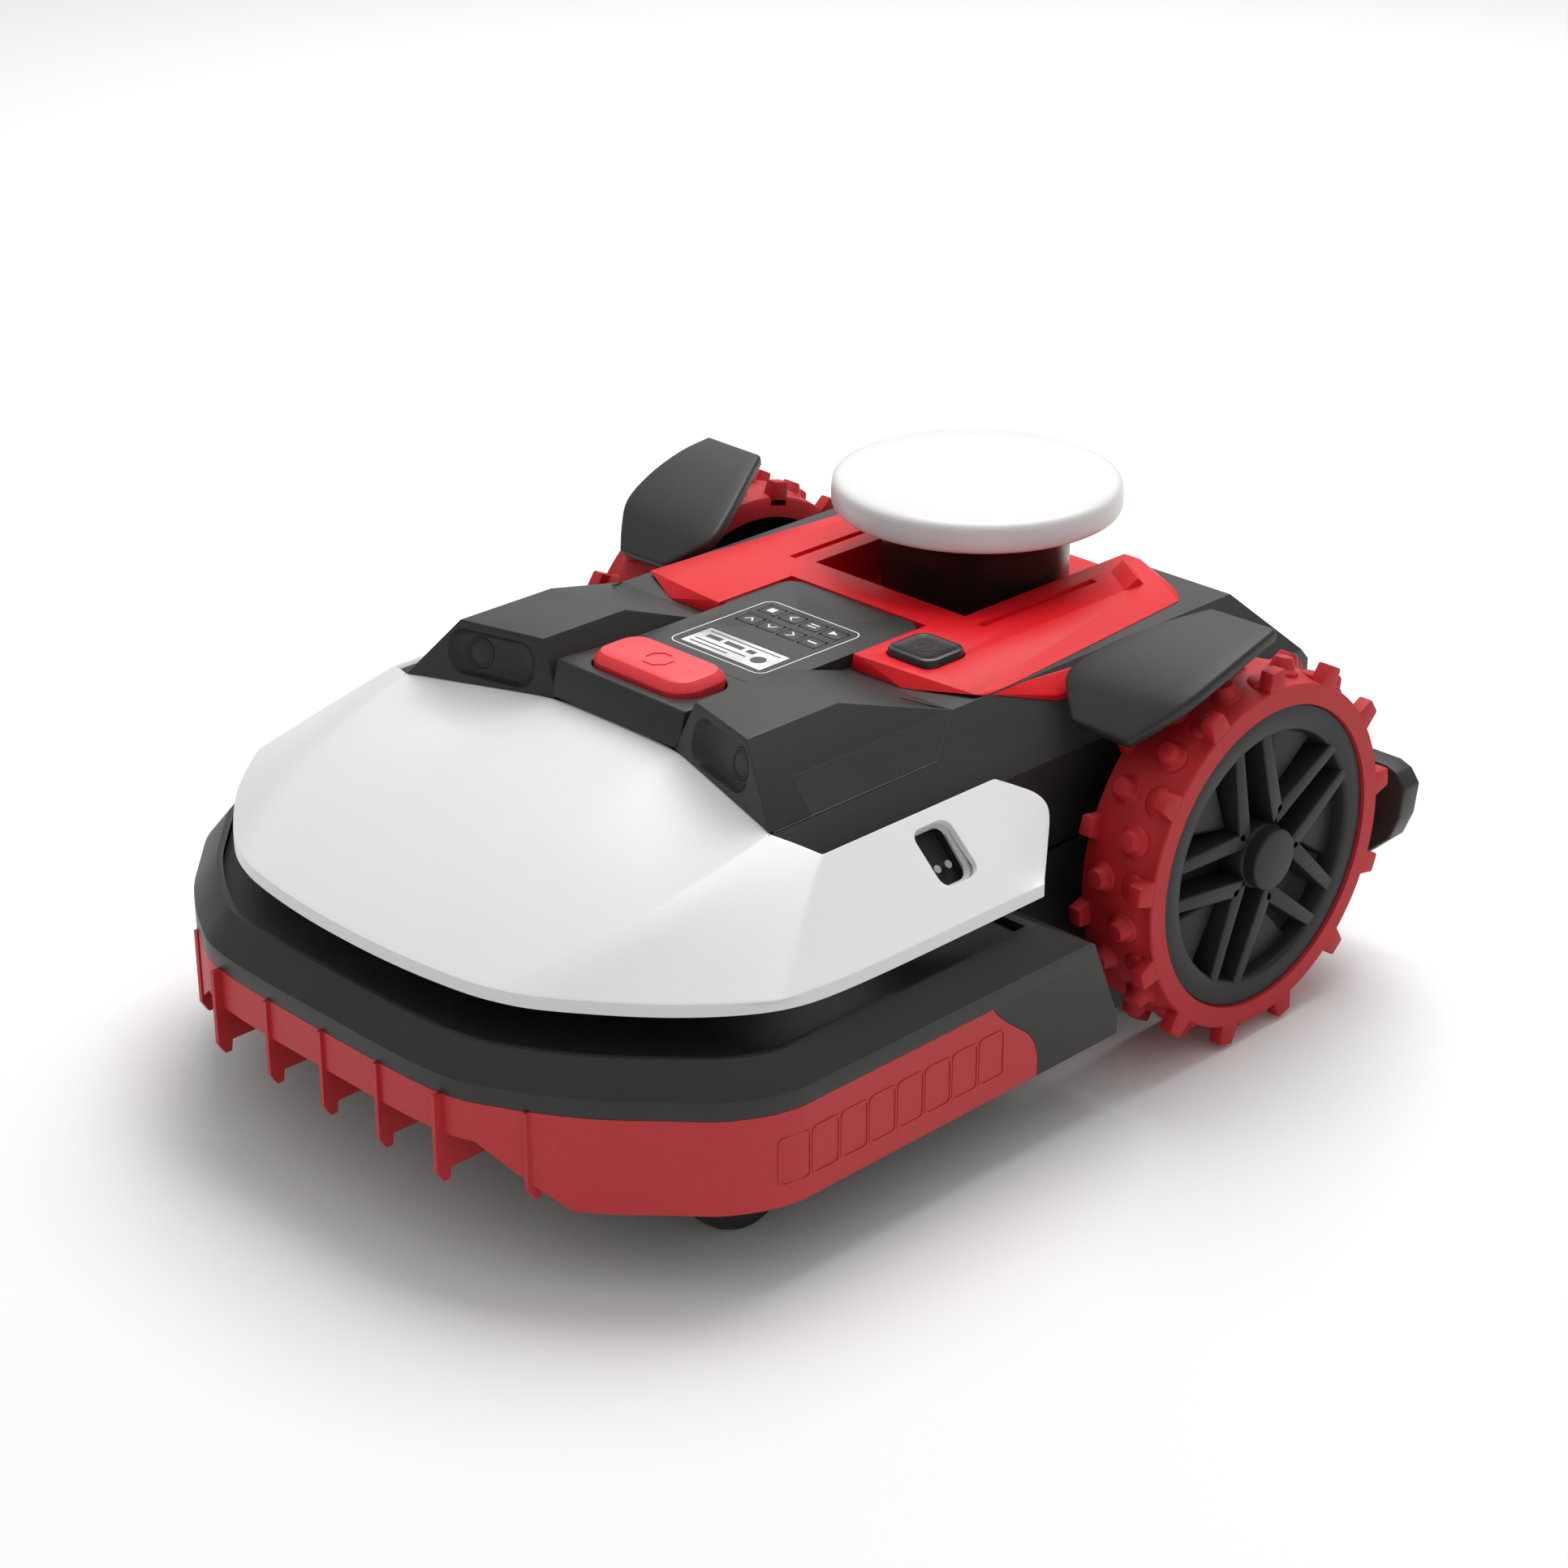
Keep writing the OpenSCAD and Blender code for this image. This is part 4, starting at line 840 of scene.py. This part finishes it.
rim = {
    "dish": [(179.5, 87), (222.6, 87), (223.6, 86.2), (223.8, 85.4), (223.8, 74.2), (223.0, 72.6),
             (221.8, 71.9), (212.0, 70.4), (209.0, 67.0), (207.6, 60.0), (206.6, 30.0), (206.6, 6.0), (203.4, 6.0),
             (203.4, 66.0), (201.5, 82.5), (179.5, 83)],
    "hub": [(176, 6.0), (176, 17), (206.8, 19), (221.0, 19.0), (222.0, 18.4), (222.6, 17.7), (229.4, 17.5),
            (230.2, 16.9), (230.5, 15.8), (230.5, 0)],
    "spokes": 5, "turn": 13, "foot": 205,
    # one arm beside a narrow pocket, and the floor of a wide pocket: (across, along)
    "arm": [(9.4, 16.0), (7.4, 79.0), (14.6, 79.0), (18.9, 21.0)], "armTop": 223.7,
    "floor": [(0, 33.0), (21.5, 72.0), (-21.5, 72.0)], "floorTop": 216.0,
}


def roundedTooth(thick, base, tip, low, high, soft):
    bm = bmesh.new()
    verts = addBox(bm, (0, -1, low), (thick, 1, high))
    for v in verts:
        v.co.y *= base if v.co.z < (low + high) / 2 else tip
    bevelSharp(bm, soft, 2, 40)
    return toMesh(bm, "tooth")


# Built on the left side, mirrored if needed and moved to the axle
def placeWheelPart(bm, side, name, slotName, hides, sharp):
    if side < 0:
        bmesh.ops.scale(bm, vec=(-1, 1, 1), verts=bm.verts)
    bmesh.ops.translate(bm, vec=(0, *wheel["center"]), verts=bm.verts)
    label = dict(sides)[side]
    finishPiece(bm, name + label, "wheel_" + label, slotName, hides=[hides + label], sharp=sharp)


def makeTyre(side):
    w = wheel
    step = math.tau / w["teeth"]
    bm = bmesh.new()
    turned(bm, w["tread"], "x", 156)
    outerTooth = roundedTooth(w["toothOuter"], *w["tooth"])
    innerTooth = roundedTooth(w["toothInner"], *w["tooth"])
    ear = bmesh.new()  # rounded root behind each outer tooth
    made = bmesh.ops.create_uvsphere(ear, u_segments=20, v_segments=12, radius=w["earRadius"])
    bmesh.ops.scale(ear, vec=w["earShape"], verts=made["verts"])
    bmesh.ops.translate(ear, vec=(0, 0, w["earHeight"]), verts=made["verts"])
    ear = toMesh(ear, "ear")
    lug = bmesh.new()
    turned(lug, w["lug"], "z", 22)
    lug = toMesh(lug, "lug")
    for i in range(w["teeth"]):
        turn = Matrix.Rotation(i * step, 4, "X")
        half = Matrix.Rotation((i + 0.5) * step, 4, "X")
        stamp(bm, outerTooth, turn @ Matrix.Translation((w["outer"] - w["toothOuter"] - w["toothInset"], 0, 0)))
        stamp(bm, innerTooth, half @ Matrix.Translation((w["inner"], 0, 0)))
        stamp(bm, ear, turn @ Matrix.Translation((w["outer"] - w["earInset"], 0, 0)))
        for row, place in zip(w["lugRows"], (half, turn)):
            stamp(bm, lug, place @ Matrix.Translation((row, 0, 0)))
    placeWheelPart(bm, side, "tyreRubber_", "tyre_red", "tyre_", 36)


def addPrism(bm, outline, top, shrink, soft, turn):
    cx = sum(p[0] for p in outline) / len(outline)
    cy = sum(p[1] for p in outline) / len(outline)
    wide = [(rim["foot"], cx + (a - cx) * (1 + shrink), cy + (b - cy) * (1 + shrink)) for a, b in outline]
    shape = hullOf(wide + [(top, a, b) for a, b in outline])
    bevelSharp(shape, soft, 3, 30)
    stamp(bm, toMesh(shape, "prism"), Matrix.Rotation(turn, 4, "X"))


def makeRim(side):
    bm = bmesh.new()
    turned(bm, rim["dish"], "x", 128)
    share = 360 / rim["spokes"]
    for i in range(rim["spokes"]):
        turn = rim["turn"] + share * i
        for s in (-1, 1):
            addPrism(bm, [(s * a, b) for a, b in rim["arm"]], rim["armTop"], 0.10, 0.8, math.radians(turn))
        addPrism(bm, rim["floor"], rim["floorTop"], 0.10, 2.6, math.radians(turn + share / 2))
    turned(bm, rim["hub"], "x", 64)
    placeWheelPart(bm, side, "rimShell_", "hub_dark", "rim_", 34)


for side, _ in sides:
    makeTyre(side)
    makeRim(side)
print("wheels made")


casterWheel = {
    "center": (160, -171, 35),
    "profile": [(-15, 4.1), (-15, 7.5), (-12.6, 8.5), (-12.2, 18), (-14.6, 20.5), (-14.8, 25), (-13.6, 29.5),
                (-11.0, 32.6), (-7.0, 34.4), (-2.5, 35.0), (2.5, 35.0), (7.0, 34.4), (11.0, 32.6), (13.6, 29.5),
                (14.8, 25), (14.6, 20.5), (12.2, 18), (12.6, 8.5), (15, 7.5), (15, 4.1), (-15, 4.1)],
}


def makeCasterWheel(side, label):
    bm = bmesh.new()
    turned(bm, casterWheel["profile"], "x", 72)
    x, y, z = casterWheel["center"]
    bmesh.ops.translate(bm, vec=(side * x, y, z), verts=bm.verts)
    body = "caster_wheel_%s_body" % label
    finishPiece(bm, "casterTyre_" + label, body, "black_rubber", hides=["caster_wheel_" + label], sharp=40)


for side, label in sides:
    makeCasterWheel(side, label)
print("casters made")


floorSize = 24.0
floorMesh = bmesh.new()
bmesh.ops.create_grid(floorMesh, x_segments=8, y_segments=8, size=floorSize / 2)
floor = bpy.data.objects.new("floor", toMesh(floorMesh, "floor"))
bpy.context.scene.collection.objects.link(floor)
floorMaterial, floorTree, floorShader = startMaterial("studioFloor")
floorShader.inputs["Base Color"].default_value = (0.93, 0.93, 0.93, 1)
floorShader.inputs["Roughness"].default_value = 0.75
floorShader.inputs["Specular IOR Level"].default_value = 0.15
floor.data.materials.append(floorMaterial)

studio = {
    "overhead": {"at": (-0.4, 1.1, 2.6), "aim": (0, 0, 0.1), "size": (2.0, 2.0), "power": 62},
    "back": {"at": (-1.9, 2.1, 1.3), "aim": (0, 0, 0.15), "size": (2.4, 1.0), "power": 7},
    "horizon": 0.36, "zenith": 0.62, "climb": (0.05, 0.75),
}


def aimedAt(obj, at, target):
    direction = Vector(target) - Vector(at)
    obj.location = at
    obj.rotation_euler = direction.to_track_quat("-Z", "Y").to_euler()


for name in ("overhead", "back"):
    setting = studio[name]
    light = bpy.data.lights.new(name, "AREA")
    light.shape = "RECTANGLE"
    light.size, light.size_y = setting["size"]
    light.energy = setting["power"]
    holder = bpy.data.objects.new(name, light)
    bpy.context.scene.collection.objects.link(holder)
    aimedAt(holder, setting["at"], setting["aim"])

world = bpy.data.worlds.new("studio")
bpy.context.scene.world = world
world.use_nodes = True
sky = world.node_tree  # a plain studio that is brighter overhead than along the walls
heading = addNode(sky, "ShaderNodeTexCoord")
upward = addNode(sky, "ShaderNodeSeparateXYZ")
sky.links.new(heading.outputs["Generated"], upward.inputs[0])
glow = mapRange(sky, upward.outputs["Z"], *studio["climb"], studio["horizon"], studio["zenith"])
sky.links.new(glow, sky.nodes["Background"].inputs["Strength"])
sky.nodes["Background"].inputs["Color"].default_value = (1, 1, 1, 1)
bpy.context.scene.view_settings.view_transform = "Standard"

cameraSet = {"at": (1.2088, -1.1752, 0.9202), "back": (0.64427, -0.63767, 0.42225), "lens": 77.17, "sensor": 36}
camera = bpy.data.objects.new("camera", bpy.data.cameras.new("camera"))
bpy.context.scene.collection.objects.link(camera)
camera.data.lens = cameraSet["lens"]
camera.data.sensor_width = cameraSet["sensor"]
camera.data.clip_end = 50
aimedAt(camera, cameraSet["at"], Vector(cameraSet["at"]) - Vector(cameraSet["back"]))
bpy.context.scene.camera = camera
print("studio set")
